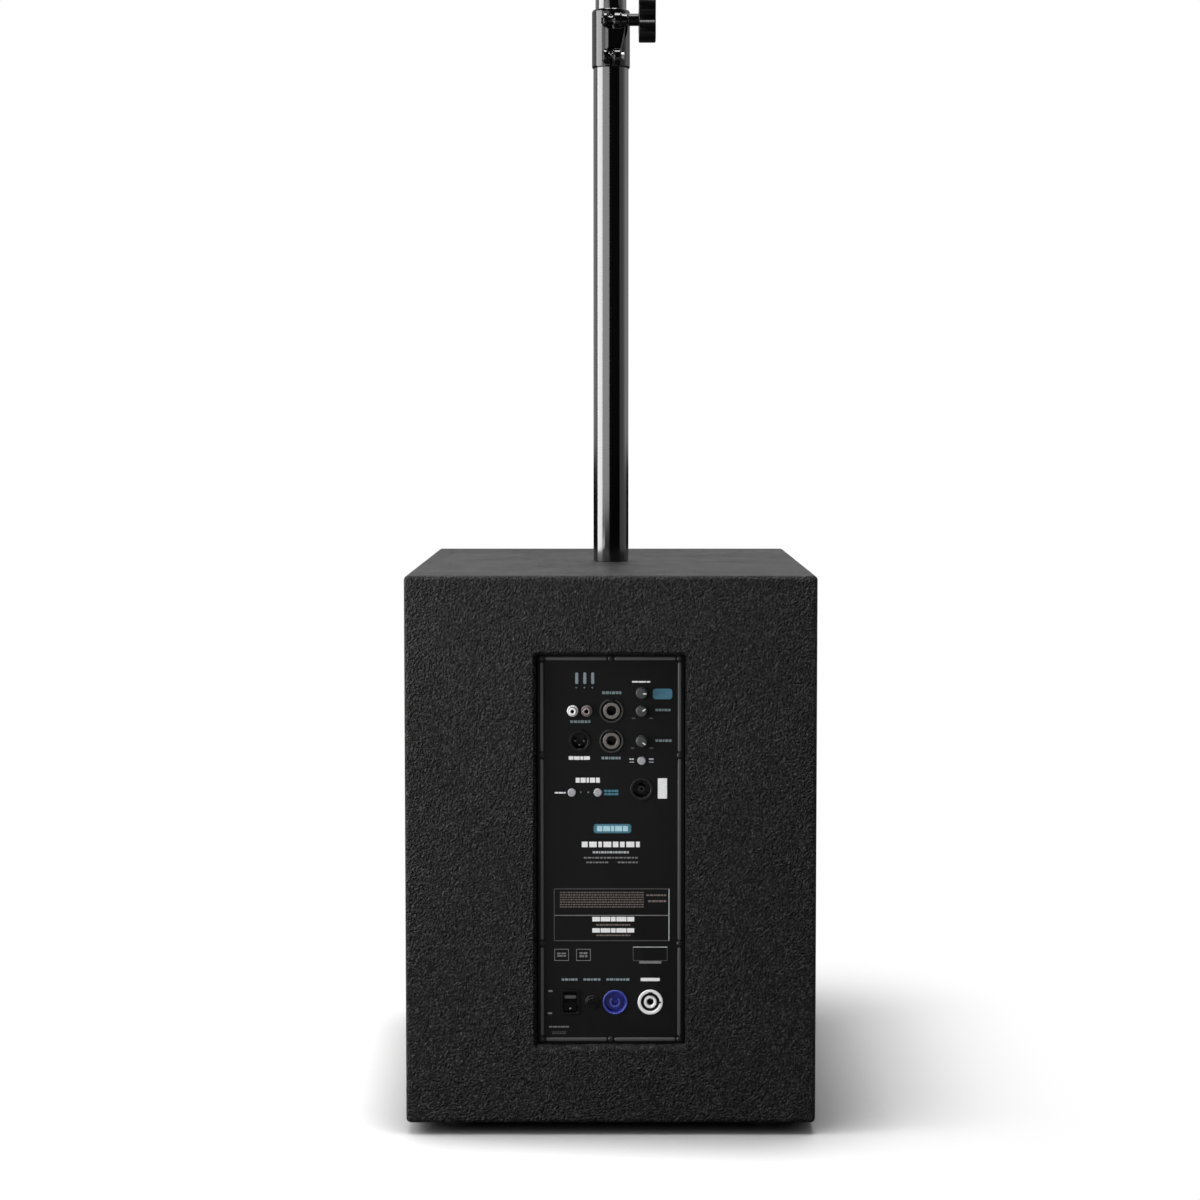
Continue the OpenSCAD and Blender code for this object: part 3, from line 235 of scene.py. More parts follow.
def lathe(profile, at, segments=64, closed=False):
    """Mesh data of a profile (radius, height) turned about a frame's outward axis.

    A profile that ends where it starts makes a ring without caps.
    """
    profile = np.asarray(profile, float)
    if np.allclose(profile[0], profile[-1]):
        profile, closed = profile[:-1], True
    return stack([(spun(around(segments), radius), height) for radius, height in profile], at, closed)


def slab(outline, low, high, at, edge=0.3, steps=3, under=0.0):
    """Mesh data of an outline raised from low to high, its rims rounded by quarter arcs.

    The upper arc has the radius edge and the lower one the radius under: the outline moves inwards by
    radius * (1 - sine) while the height nears the rim's end by radius * (1 - cosine).
    """
    t = np.linspace(0, np.pi / 2, steps + 1)
    rows = [(under * (1 - np.sin(a)), low + under * (1 - np.cos(a))) for a in t] if under else [(0, low)]
    rows += [(edge * (1 - np.cos(a)), high - edge + edge * np.sin(a)) for a in t]
    return stack([(inset(outline, by) if by > 1e-9 else outline, height) for by, height in rows], at)


def merged(parts):
    """Several mesh data joined into one."""
    points, faces, count = [], [], 0
    for p, f in parts:
        points.append(p)
        faces += [[i + count for i in face] for face in f]
        count += len(p)
    return np.vstack(points), faces


def put(name, data):
    """New object of Blender data, linked to the scene."""
    obj = bpy.data.objects.new(name, data)
    bpy.context.scene.collection.objects.link(obj)
    return obj


def mesh_object(name, data):
    """Object of mesh data, or of a list of them, with doubles merged and faces turned outwards."""
    points, faces = merged(data) if isinstance(data, list) else data
    mesh = bpy.data.meshes.new(name)
    mesh.from_pydata((points * MM).tolist(), [], faces)
    mesh.validate()
    work = bmesh.new()
    work.from_mesh(mesh)
    bmesh.ops.remove_doubles(work, verts=work.verts, dist=1e-7)
    bmesh.ops.recalc_face_normals(work, faces=work.faces)
    work.to_mesh(mesh)
    work.free()
    return put(name, mesh)


def shade(mesh, angle=38):
    """Smooth shading that breaks at edges sharper than the angle, in degrees."""
    mesh.shade_smooth()
    mesh.set_sharp_from_angle(angle=radians(angle))


def piece(name, data, finish, stands_for="", body="cabinet", angle=38):
    """A finished object of mesh data: finish, the CAD nodes that it stands for, and its body."""
    obj = mesh_object(name, data)
    shade(obj.data, angle)
    obj.data.materials.append(SPEC[finish])
    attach(obj, body)
    if stands_for:
        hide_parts(*stands_for.split())
    return obj


def turned(name, points, at, segments, finish, slot, stands_for="", body="cabinet", **corners):
    """A piece turned from a profile with rounded corners, once in a frame or in each of a list."""
    spots = at if isinstance(at, list) else [at]
    profile = rounded(points, **corners)
    return piece(name, [lathe(profile, spot, segments) for spot in spots], finish, stands_for, body)


def applied(obj, angle):
    """Applies an object's modifiers to its mesh and shades it again."""
    bpy.context.view_layer.update()
    made = bpy.data.meshes.new_from_object(obj.evaluated_get(bpy.context.evaluated_depsgraph_get()))
    obj.modifiers.clear()
    old, obj.data = obj.data, made
    made.name = old.name
    bpy.data.meshes.remove(old)
    shade(made, angle)


def cut(obj, data, angle=38):
    """Cuts closed mesh data out of an object with one exact Boolean."""
    tool = mesh_object("tool", data)
    step = obj.modifiers.new("cut", "BOOLEAN")
    step.operation, step.solver, step.object, step.use_self = "DIFFERENCE", "EXACT", tool, True
    applied(obj, angle)
    bpy.data.objects.remove(tool)


def fused(obj, size, rounds):
    """Overlapping solids made one skin: voxels of the given size in mm, then smoothing."""
    melt = obj.modifiers.new("melt", "REMESH")
    melt.mode, melt.voxel_size = "VOXEL", size * MM
    ease = obj.modifiers.new("ease", "SMOOTH")
    ease.factor, ease.iterations = 0.5, rounds
    applied(obj, 50)


# ---------------------------------------------------------------- material helpers

def grey(level, tint=(1.0, 1.0, 1.0)):
    """Linear colour of a display level from 0 to 255, tinted."""
    c = level / 255
    linear = c / 12.92 if c <= 0.04045 else ((c + 0.055) / 1.055) ** 2.4
    return (*(linear * part for part in tint), 1.0)


def colour(*levels):
    """Linear colour of three display levels from 0 to 255."""
    return (*(grey(level)[0] for level in levels), 1.0)


def scaled(tone, by, plus=0.0):
    """A colour made paler or darker, at most white."""
    return (*(min(1.0, c * by + plus) for c in tone[:3]), 1.0)


def add(tree, kind, inputs=None, **settings):
    """Adds a shader node. A socket among the inputs is linked, and any other value is set."""
    new = tree.nodes.new("ShaderNode" + kind)
    for key, value in settings.items():
        setattr(new, key, value)
    for key, value in (inputs or {}).items():
        if isinstance(value, bpy.types.NodeSocket):
            tree.links.new(value, new.inputs[key])
        else:
            new.inputs[key].default_value = value
    return new


def math(tree, operation, a, b=0.0):
    """A Math node's output."""
    return add(tree, "Math", {0: a, 1: b}, operation=operation).outputs[0]


def times(tree, a, b):
    """Product of two values."""
    return math(tree, "MULTIPLY", a, b)


def spread(tree, value, low, high, to_low=0.0, to_high=1.0, **settings):
    """A value mapped from one range to another and held inside it."""
    return add(tree, "MapRange", {"Value": value, "From Min": low, "From Max": high,
                                  "To Min": to_low, "To Max": to_high}, **settings).outputs[0]


def mix(tree, mask, a, b):
    """Colour between a and b by a mask."""
    return add(tree, "Mix", {0: mask, 6: a, 7: b}, data_type="RGBA").outputs[2]


def object_points(tree):
    """Object coordinates."""
    return add(tree, "TexCoord").outputs["Object"]


def noise(tree, points, scale, detail=2.0, rough=0.55):
    """Noise texture's value."""
    return add(tree, "TexNoise", {"Vector": points, "Scale": scale, "Detail": detail,
                                  "Roughness": rough}).outputs["Fac"]


def clouds(tree, points, scale, detail=2.0):
    """Soft patches of noise."""
    return spread(tree, noise(tree, points, scale, detail), 0.35, 0.65)


def effect(name, inputs, outputs, build):
    """A node group of values: its inputs with their defaults, and the outputs that build returns."""
    tree = bpy.data.node_groups.new(name, "ShaderNodeTree")
    for way, labels in (("INPUT", inputs), ("OUTPUT", outputs)):
        for label in labels:
            socket = tree.interface.new_socket(label, in_out=way, socket_type="NodeSocketFloat")
            if way == "INPUT":
                socket.default_value = inputs[label]
    entry, out = (tree.nodes.new("NodeGroup" + end) for end in ("Input", "Output"))
    for label, made in zip(outputs, build(tree, object_points(tree), entry.outputs)):
        tree.links.new(made, out.inputs[label])
    return tree


def sprayed_texture(tree, points, inputs):
    """Spatter of a textured paint: rounded drops of two sizes over a fine grain.

    Height rises on each drop. The fleck mask marks drops that stand out pale: partly the coat's own
    tone and partly painted glints for drops that catch the light. The hollow mask is painted shade in
    the gaps between them, where the same noise is low, and Cloud is the slow unevenness of the coat.
    """
    grain = inputs["Grain"]
    coarse = noise(tree, points, grain, 3.0, 0.6)
    drops = add(tree, "TexVoronoi", {"Vector": points, "Scale": times(tree, grain, 1.2)}, feature="SMOOTH_F1")
    hill = spread(tree, drops.outputs["Distance"], 0.1, 0.7, 1.0, 0.0)
    pale = noise(tree, points, times(tree, grain, 0.85), 4.0, 0.65)
    return (math(tree, "ADD", times(tree, coarse, 0.9), times(tree, hill, 0.5)),
            spread(tree, pale, 0.5, 0.72), spread(tree, pale, 0.48, 0.36), clouds(tree, points, 9.0))


def moulded_grain(tree, points, inputs):
    """Fine leather-like grain of moulded plastic or rubber, and patches for uneven gloss."""
    return noise(tree, points, inputs["Grain"]), clouds(tree, points, 35.0, 4.0)


def handling_marks(tree, points, inputs):
    """Rubbed places and faint scratches: soft patches, and thin lines of stretched noise."""
    along = add(tree, "Mapping", {"Vector": points, "Rotation": (0.4, 0.7, 0.3), "Scale": (1.0, 22.0, 1.0)})
    lines = noise(tree, along.outputs[0], times(tree, inputs["Scale"], 1.6), 3.0, 0.6)
    return (spread(tree, noise(tree, points, inputs["Scale"], 5.0, 0.65), 0.5, 0.72),
            spread(tree, lines, 0.66, 0.70))


def dust_and_painted_sheen(tree, points, inputs):
    """Dust and painted sheen on what faces up: the world normal's height squared, broken up by noise."""
    normal = add(tree, "SeparateXYZ", {0: add(tree, "NewGeometry").outputs["Normal"]})
    up = math(tree, "POWER", math(tree, "MAXIMUM", normal.outputs["Z"], 0.0), 2.0)
    specks = spread(tree, noise(tree, points, inputs["Scale"], 6.0, 0.7), 0.4, 0.75)
    return (times(tree, up, specks),)


def drawn_lines(tree, points, inputs):
    """Lines of a drawn or turned metal: noise squeezed along each axis by its stretch, and patches."""
    stretch = add(tree, "CombineXYZ", {k: inputs[k] for k in range(3)})
    along = add(tree, "VectorMath", {0: points, 1: stretch.outputs[0]}, operation="MULTIPLY")
    return noise(tree, along.outputs[0], 900.0), clouds(tree, points, 25.0, 4.0)


SPRAYED = effect("sprayed texture", {"Grain": 300.0}, ("Height", "Fleck and glint", "Painted hollow shade", "Cloud"), sprayed_texture)
GRAIN = effect("moulded grain", {"Grain": 1500.0}, ("Height", "Patch"), moulded_grain)
MARKS = effect("handling marks", {"Scale": 30.0}, ("Rub", "Scratch"), handling_marks)
# Upward faces made paler: partly settled dust, partly painted sheen.
DUST_AND_SHEEN = effect("settled dust and painted sheen", {"Scale": 60.0}, ("Mask",), dust_and_painted_sheen)
LINES = effect("drawn lines", {"Along " + axis: 1.0 for axis in "XYZ"}, ("Height", "Patch"), drawn_lines)


def use(tree, group, *values):
    """Outputs of an effect group placed in a material with its own values."""
    new = add(tree, "Group", node_tree=group)
    for socket, value in zip(new.inputs, values):
        socket.default_value = value
    return new.outputs


CONSTANTS = {"metal": "Metallic", "coat": "Coat Weight", "coat_rough": "Coat Roughness",
             "coat_ior": "Coat IOR", "sheen": "Sheen Weight", "level": "Specular IOR Level"}


def material(name, rough, **values):
    """A new material with constant values set on its Principled shader, and its node tree."""
    made = bpy.data.materials.new(name)
    made.use_nodes = True
    inputs = made.node_tree.nodes["Principled BSDF"].inputs
    inputs["Roughness"].default_value = rough
    for key, value in {"coat_rough": 0.1, **values}.items():
        inputs[CONSTANTS[key]].default_value = value
    return made, made.node_tree


def finished(made, base, height=None, relief=0.0, gloss=None):
    """Feeds a material's colour, and where given its relief in millimetres and its roughness."""
    tree = made.node_tree
    inputs = tree.nodes["Principled BSDF"].inputs
    tree.links.new(base, inputs["Base Color"])
    if height is not None:
        dent = add(tree, "Bump", {"Height": height, "Distance": relief * MM, "Strength": 1.0})
        tree.links.new(dent.outputs["Normal"], inputs["Normal"])
    if gloss is not None:
        tree.links.new(gloss, inputs["Roughness"])
    return made


def sprayed_paint(name, dark, light, rough, grain, relief, fleck_and_glint, dust, level):
    """Textured cabinet paint: dark coat, pale flecks that are partly painted glints, painted shade in the
    hollows, drops in relief, and dust with painted sheen on top.
    """
    made, tree = material(name, rough, level=level)
    drops = use(tree, SPRAYED, grain)
    # Pale flecks: partly the coat's own tone, partly painted glints for drops that catch the light.
    base = mix(tree, times(tree, drops["Fleck and glint"], fleck_and_glint), dark, light)
    # Painted shade: the hollow mask darkens the coat towards black, as shade between the drops.
    base = mix(tree, times(tree, drops["Painted hollow shade"], 0.8), base, grey(0))
    if dust:
        # Dust and painted sheen: upward faces turn paler, partly as dust and partly as a painted sheen for
        # the light that a top catches.
        base = mix(tree, times(tree, use(tree, DUST_AND_SHEEN, 90.0)["Mask"], dust), base, grey(150))
    return finished(made, base, drops["Height"], relief,
                    spread(tree, drops["Cloud"], 0, 1, rough - 0.05, rough + 0.05))


def moulded(name, tone, rough, grain=1500.0, relief=0.03, worn=0.08, **shine):
    """Moulded plastic or rubber: fine grain, uneven gloss and rubbed places a little paler."""
    made, tree = material(name, rough, **shine)
    skin = use(tree, GRAIN, grain)
    base = mix(tree, times(tree, use(tree, MARKS, 45.0)["Rub"], worn * 4), tone, scaled(tone, 1.4, 0.006))
    return finished(made, base, skin["Height"], relief,
                    spread(tree, skin["Patch"], 0, 1, max(rough - 0.07, 0.04), min(rough + 0.07, 1)))


def enamel(name, tone, rough, coat, coat_rough, scratches=0.25, relief=0.008, level=0.5, coat_ior=1.5):
    """Smooth paint on steel under a clear gloss: orange peel, faint scratches, uneven gloss."""
    made, tree = material(name, rough, coat=coat, coat_rough=coat_rough, level=level, coat_ior=coat_ior)
    skin = use(tree, GRAIN, 420.0)
    scratch = times(tree, use(tree, MARKS, 18.0)["Scratch"], scratches)
    return finished(made, mix(tree, scratch, tone, scaled(tone, 1.8, 0.006)), skin["Height"], relief,
                    spread(tree, skin["Patch"], 0, 1, rough - 0.04, rough + 0.04))


def bare_metal(name, tone, rough, along=(1.0, 1.0, 0.05), relief=0.006, tarnish=0.3):
    """Bare metal with drawn lines, squeezed along the given axes, and a duller tarnish in patches."""
    made, tree = material(name, rough, metal=1.0)
    lines = use(tree, LINES, *along)
    base = mix(tree, times(tree, lines["Patch"], tarnish), tone, scaled(tone, 0.6))
    return finished(made, base, lines["Height"], relief,
                    spread(tree, lines["Patch"], 0, 1, rough - 0.06, rough + 0.1))


def fibrous(name, dark, light, grain, relief, sheen=0.3, rough=0.95):
    """Paper, cloth or felt: two-scale fibres, with painted shade in the hollows where the relief is low."""
    made, tree = material(name, rough, sheen=sheen)
    fibres = noise(tree, object_points(tree), grain, 6.0, 0.7)
    # Painted shade: the colour follows the relief, darker in its hollows.
    return finished(made, mix(tree, spread(tree, fibres, 0.3, 0.7), dark, light), fibres, relief)


def open_foam(name, dark, light, cells=700.0):
    """Open-cell foam: round cells by distance to their centres, with painted shade inside each cell and the
    walls pale.
    """
    made, tree = material(name, 1.0, sheen=0.15)
    cell = add(tree, "TexVoronoi", {"Vector": object_points(tree), "Scale": cells})
    walls = spread(tree, cell.outputs["Distance"], 0.2, 0.65)
    # Painted shade: the colour is dark inside each cell and pale at its walls.
    return finished(made, mix(tree, walls, dark, light), walls, 0.8)


def birch_ply(name):
    """Bare plywood: stripes of the plies along the height, with fine grain along the width."""
    made, tree = material(name, 0.7)
    points = object_points(tree)
    grained = add(tree, "Mapping", {"Vector": points, "Scale": (3.0, 40.0, 40.0)}).outputs[0]
    grain = noise(tree, grained, 12.0, 5.0, 0.6)
    plies = add(tree, "TexWave", {"Vector": points, "Scale": 110.0, "Distortion": 0.4}, bands_direction="Z")
    pale, dark = grey(208, (1.0, 0.84, 0.62)), grey(165, (1.0, 0.78, 0.52))
    wood = mix(tree, spread(tree, grain, 0.3, 0.7), dark, pale)
    glue = spread(tree, plies.outputs["Fac"], 0.6, 0.9, 0, 0.5)
    return finished(made, mix(tree, glue, wood, grey(120, (1.0, 0.7, 0.42))), grain, 0.1)


def circuit_board(name):
    """Solder mask over copper tracks: straight tracks from square cells, glossy and slightly raised."""
    made, tree = material(name, 0.3, coat=0.4)
    cells = add(tree, "TexVoronoi", {"Vector": object_points(tree), "Scale": 160.0}, distance="CHEBYCHEV")
    tracks = spread(tree, cells.outputs["Distance"], 0.3, 0.34)
    base = mix(tree, tracks, grey(70, (0.2, 1.0, 0.45)), grey(105, (0.2, 1.0, 0.5)))
    return finished(made, base, tracks, 0.04)


def wound_wire(name, dark, light, pitch):
    """Enamelled wire in even turns: bands along the depth with a rounded height, paler on each crest and
    darker between turns as painted highlight and shade.
    """
    made, tree = material(name, 0.3, metal=1.0)
    wave = add(tree, "TexWave", {"Vector": object_points(tree), "Scale": pitch}, bands_direction="Y")
    turns = wave.outputs["Fac"]
    # Painted highlight and shade: the bands that give the height also make the crests pale and the grooves
    # dark.
    return finished(made, mix(tree, turns, dark, light), turns, 0.2)


def printed(name, *levels):
    """Screen-printed ink: even tone with pinholes and slightly worn patches."""
    made, tree = material(name, 0.55)
    tone = grey(*levels) if len(levels) == 1 else colour(*levels)
    thin = spread(tree, noise(tree, object_points(tree), 900.0, 4.0, 0.7), 0.35, 0.7)
    return finished(made, mix(tree, thin, tone, scaled(tone, 0.75)), thin, 0.01)


def lens(name, tone, glow):
    """Clear lamp lens lit from inside: glossy, with a slight cloudiness."""
    made, tree = material(name, 0.15, coat=0.6)
    cloud = spread(tree, noise(tree, object_points(tree), 1500.0), 0.3, 0.7)
    tint = mix(tree, cloud, tone, scaled(tone, 0.7))
    inputs = tree.nodes["Principled BSDF"].inputs
    inputs["Emission Strength"].default_value = glow
    tree.links.new(tint, inputs["Emission Color"])
    return finished(made, tint)


OCHRE, COPPER = ((1.0, 0.72, 0.32), (1.0, 0.75, 0.36)), ((1.0, 0.5, 0.3), (1.0, 0.6, 0.4))
SPEC = {
    "shell": sprayed_paint("cabinet paint", grey(3), grey(68), 0.42, 500.0, 2.8, 0.85, 0.15, 0.17),
    "inner": sprayed_paint("baffle paint", grey(12), grey(40), 0.7, 330.0, 0.3, 0.4, 0.0, 0.2),
    "ply": birch_ply("bare plywood"),
    "rubber": moulded("foot rubber", grey(20), 0.8, 900.0, 0.08, level=0.3),
    "grip": moulded("grip rubber", grey(26), 0.65, 1100.0, 0.1, level=0.3),
    "screw": enamel("black zinc", grey(26), 0.4, 0.0, 0.2, 0.6, 0.02, 0.35),
    "plastic": moulded("black plastic", grey(15), 0.45, 1400.0, 0.04, level=0.3),
    "grille": sprayed_paint("grille powder coat", grey(20), grey(46), 0.5, 1200.0, 0.08, 0.4, 0.0, 0.3),
    "foam": open_foam("grille foam", grey(6), grey(26)),
    "socket": enamel("socket enamel", grey(30), 0.4, 0.3, 0.2),
    "basket": enamel("basket enamel", grey(30), 0.45, 0.2, 0.25),
    "iron": bare_metal("zinc plated iron", grey(190), 0.35, (1.0, 0.1, 1.0)),
    "ferrite": fibrous("ferrite", grey(36), grey(58), 700.0, 0.08, 0.0, 0.6),
    "spider": fibrous("spider cloth", grey(120, OCHRE[0]), grey(178, OCHRE[1]), 1400.0, 0.15),
    "surround": moulded("surround rubber", grey(24), 0.6, 1300.0, 0.05),
    "paper": fibrous("cone paper", grey(28), grey(50), 600.0, 0.25),
    "copper": wound_wire("coil wire", grey(150, COPPER[0]), grey(215, COPPER[1]), 220.0),
    "lead": moulded("lead insulation", grey(170, (1.0, 0.07, 0.05)), 0.4, 900.0, 0.02),
    "plate": enamel("plate paint", colour(21, 21, 22), 0.45, 0.0, 0.2, 0.1, 0.03, 0.09),
    "bead": enamel("bead paint", grey(60), 0.42, 0.0, 0.3, 0.2, 0.02, 0.55),
    "gasket": fibrous("gasket foam", grey(20), grey(36), 1500.0, 0.2, 0.1),
    "aluminium": bare_metal("extruded aluminium", grey(205), 0.35, (1.0, 1.0, 0.04)),
    "board": circuit_board("circuit board"),
    "tape": moulded("transformer tape", grey(195, (1.0, 0.6, 0.12)), 0.35, 500.0, 0.08),
    "bodies": moulded("control bodies", grey(85, (0.9, 1.0, 0.95)), 0.45, 1200.0, 0.03),
    "pole": enamel("pole gloss coat", grey(3), 0.35, 1.0, 0.1, 0.05, 0.0012, 0.0, 1.8),
    "clamp": enamel("clamp coat", grey(3), 0.35, 0.6, 0.14, 0.05, 0.002, 0.0, 1.7),
    "zinc": bare_metal("zinc plated steel", grey(200), 0.3, (0.2, 1.0, 1.0)),
    "fixing": enamel("black oxide steel", grey(6), 0.25, 0.0, 0.15, 0.3, 0.01, 0.5),
    "sleeve": moulded("sleeve plastic", grey(18), 0.4, 1500.0, 0.02, 0.05, level=0.35),
    "clamp_knob": moulded("clamp knob plastic", grey(5), 0.25, 1600.0, 0.008, 0.03, level=0.16),
    "jack_ring": moulded("jack flange", colour(34, 33, 32), 0.45, 1600.0, 0.02),
    "jack_metal": bare_metal("nickel", colour(128, 124, 120), 0.42, (1.0, 1.0, 1.0), 0.004, 0.35),
    "rocker": moulded("rocker plastic", grey(3), 0.5, 1500.0, 0.02, 0.02, level=0.06),
    "black_gloss": moulded("black moulding", grey(5), 0.35, 1800.0, 0.02, level=0.2),
    "rca_white": moulded("white phono ring", grey(226), 0.35, 1500.0, 0.01, 0.02),
    "rca_red": moulded("red phono ring", colour(126, 112, 112), 0.35, 1500.0, 0.01, 0.02),
    "blue": moulded("blue socket", colour(18, 22, 128), 0.4, 1500.0, 0.01, 0.02),
    "pale_blue": moulded("blue socket rim", colour(54, 66, 146), 0.4, 1500.0, 0.01, 0.02),
    "white": moulded("pale socket", grey(224), 0.4, 1500.0, 0.01, 0.02),
    "knob": moulded("knob plastic", colour(50, 52, 53), 0.45, 1600.0, 0.03),
    "button": moulded("button plastic", colour(158, 159, 162), 0.45, 1600.0, 0.01, 0.02),
    "lamp": lens("lamp lens", colour(62, 76, 80), 0.1),
    "ink_white": printed("white ink", 244),
    "ink_pale": printed("pale ink", 182, 186, 188),
    "ink_blue": printed("pale blue ink", 128, 144, 150),
    "ink_green": printed("pale green ink", 112, 130, 130),
    "ink_cyan": printed("cyan ink", 62, 116, 136),
    "ink_bright": printed("bright cyan ink", 176, 218, 230),
    "ink_grey": printed("grey ink", 122),
    "ink_rose": printed("rose grey ink", 112, 100, 96),
    "ink_dim": printed("dim ink", 66),
}


# ---------------------------------------------------------------- cabinet

def cabinet_shell():
    """Four walls and the rear face as one closed shell, a loft of rounded rectangles along a loop.

    The loop runs out of the rear mouth over its round-over, across the rear face, over the outer
    edge, along the walls to the front lip, back inside, and along the rear wall's inner face.
    """
    rear_in = REAR_Y + PANEL_T
    inner_w, inner_h = 2 * (HALF_W - PANEL_T), 2 * (HALF_H - PANEL_T)
    quarter = [(1 - np.sin(a), 1 - np.cos(a)) for a in np.linspace(0, np.pi / 2, 6)]

    def mouth(grow, y):
        return MOUTH_W + 2 * grow, MOUTH_H + 2 * grow, MOUTH_R + grow, y, PLATE_Z

    def outer(back, y):
        return 2 * (HALF_W - back), 2 * (HALF_H - back), EDGE_R - back + 0.6, y, SHELL_MID_Z

    def inner(wide, radius, y):
        return inner_w + wide, inner_h + wide, radius, y, SHELL_MID_Z

    rows = [mouth(0, rear_in), mouth(0, REAR_Y + MOUTH_EDGE + 1.5)]
    rows += [mouth(MOUTH_EDGE * share, REAR_Y + (MOUTH_EDGE + 0.4) * (1 - share) ** 1.1)
             for share in (0.0, 0.04, 0.12, 0.5, 0.88, 0.96, 1.0)]
    rows += [mouth(MOUTH_EDGE + 1.5, REAR_Y), (*outer(EDGE_R + 3, REAR_Y)[:2], 0.6, REAR_Y, SHELL_MID_Z)]
    rows += [outer(EDGE_R * off, REAR_Y + EDGE_R * on) for off, on in quarter]
    rows += [outer(0, REAR_Y + EDGE_R + 3), outer(0, FRONT_Y - EDGE_R - 3)]
    rows += [outer(EDGE_R * on, FRONT_Y - EDGE_R * off) for off, on in quarter]
    rows += [inner(4, 2.6, FRONT_Y)] + [inner(2 * off, 1.6, FRONT_Y - on) for off, on in quarter]
    rows += [inner(0, 1.6, FRONT_Y - 3), inner(0, 1.6, rear_in)]
    rings = []
    for width, height, radius, y, mid_z in rows:
        flat = rectangle(width, height, radius, 5, 3.0)
        rings.append(np.column_stack([flat[:, 0], np.full(len(flat), y), flat[:, 1] + mid_z]))
    shell = piece("cabinet_shell", loft(np.array(rings), closed=True), "shell",
                  "top_panel bottom_panel left_panel right_panel rear_panel")
    low, high, middle = span("handle_cups")
    across, tall = (high - low)[1:]
    tools = []
    for side in (-1, 1):
        at = on_side(side, *middle[1:])
        tools.append(slab(rectangle(across + 0.6, tall + 0.6, 8.3), -3.0, 2.0, at, 0.05, 1))
        tools.append(slab(rectangle(148, 94, 8), -PANEL_T - 2, -2.5, at, 0.05, 1))
    bore = 19.8
    tools.append(lathe([(bore, -PANEL_T - 2), (bore, -1.0), (bore + 0.8, 0.0), (bore + 0.8, 2.0)],
                       upright(SHELL_HIGH[2])))
    cut(shell, tools)


def pairs_of(node, radius):
    """Places on the plate of a node's two round fittings, one above the other or side by side."""
    low, high, middle = span(node)
    if (high - low)[2] > (high - low)[0]:
        return [(middle[0], z - PLATE_Z) for z in (low[2] + radius, high[2] - radius)]
    return [(u, middle[2] - PLATE_Z) for u in (low[0] + radius, high[0] - radius)]


def plate_pressing():
    """The amplifier plate: a pressed sheet with softened edges, holed for its fittings."""
    thick = PLATE_HIGH[1] - FACE_Y
    plate = piece("plate_pressing", slab(rectangle(PLATE_W, PLATE_H, 2.0), -thick, 0.0, on_plate(0, 0), 0.5),
                  "plate", "amp_plate")
    holes = [(*spot, 10.4) for spot in pairs_of("combo_jacks", COMBO_D / 2)]
    shrink = {"xlr_output speaker_output mains_inlet mains_outlet": 1.6,
              "phase_button pair_button play_button": -0.2,
              "mode_knob mic_level_knob line_level_knob": 2.4, "fuse_holder": 1.6}
    for names, less in shrink.items():
        for name in names.split():
            low, high, _ = span(name)
            holes.append((*plate_place(name), (high[0] - low[0]) / 2 - less))
    holes += [(*spot, 4.2) for spot in pairs_of("rca_jacks", PHONO_R)]
    tools = [lathe([(r, -thick - 2), (r, 2)], on_plate(u, v), 40) for u, v, r in holes]
    tools.append(slab(rectangle(15.5, 22, 1), -thick - 2, 2, at_node("switch_frame"), 0.05, 1))
    cut(plate, tools)


def bead_run(start, end, width=3.5):
    """One straight run of the raised bead: a flat-topped arch carried from start to end, its ends rounded.

    Across, the arch is a superellipse: side = cos^(1/2), height = sin^(1/2). Its width and height both
    follow sqrt(1 - s^2) over the last bit at each end.
    """
    start, end = np.array(start, float), np.array(end, float)
    length = np.linalg.norm(end - start)
    along = (end - start) / length
    across = np.array([-along[1], along[0]])
    cap = width * 0.5
    tip = cap * (1 - np.cos(np.linspace(0.12, np.pi / 2, 6)))
    s = np.concatenate([tip, length - tip[::-1]])
    near = np.minimum(s, length - s)
    swell = np.sqrt(np.clip(1 - (1 - np.clip(near / cap, 0, 1)) ** 2, 0, 1))
    phi = np.linspace(0, np.pi, 13)
    side, rise = np.sign(np.cos(phi)) * np.abs(np.cos(phi)) ** 0.5, np.abs(np.sin(phi)) ** 0.5
    rings = [np.column_stack([start + along * d + np.outer(side * width / 2 * full, across),
                              rise * BEAD_H * (0.35 + 0.65 * full)]) for d, full in zip(s, swell)]
    return loft(place(np.array(rings), on_plate(0, 0)))


def screw_edges():
    """How far the plate's outer screws stand from its middle, across and up, and their heads' front."""
    low, high, _ = span("amp_screws")
    u, _, v = (high - low) / 2 - SCREW_R
    return u, v, FACE_Y - low[1]


def plate_bead():
    """The raised bead round the plate, broken at each of the ten screws."""
    u, v, _ = screw_edges()
    gap, side_v, runs = 3.6, SIDE_SCREW_V, []
    for s in (-1, 1):
        runs += [bead_run((a, s * v), (b, s * v)) for a, b in ((-u + gap, -gap), (gap, u - gap))]
        runs += [bead_run((s * u, a), (s * u, b)) for a, b in
                 ((-v + gap, -side_v - gap), (-side_v + gap, side_v - gap), (side_v + gap, v - gap))]
    piece("plate_bead", runs, "bead")


# ---------------------------------------------------------------- plate fittings

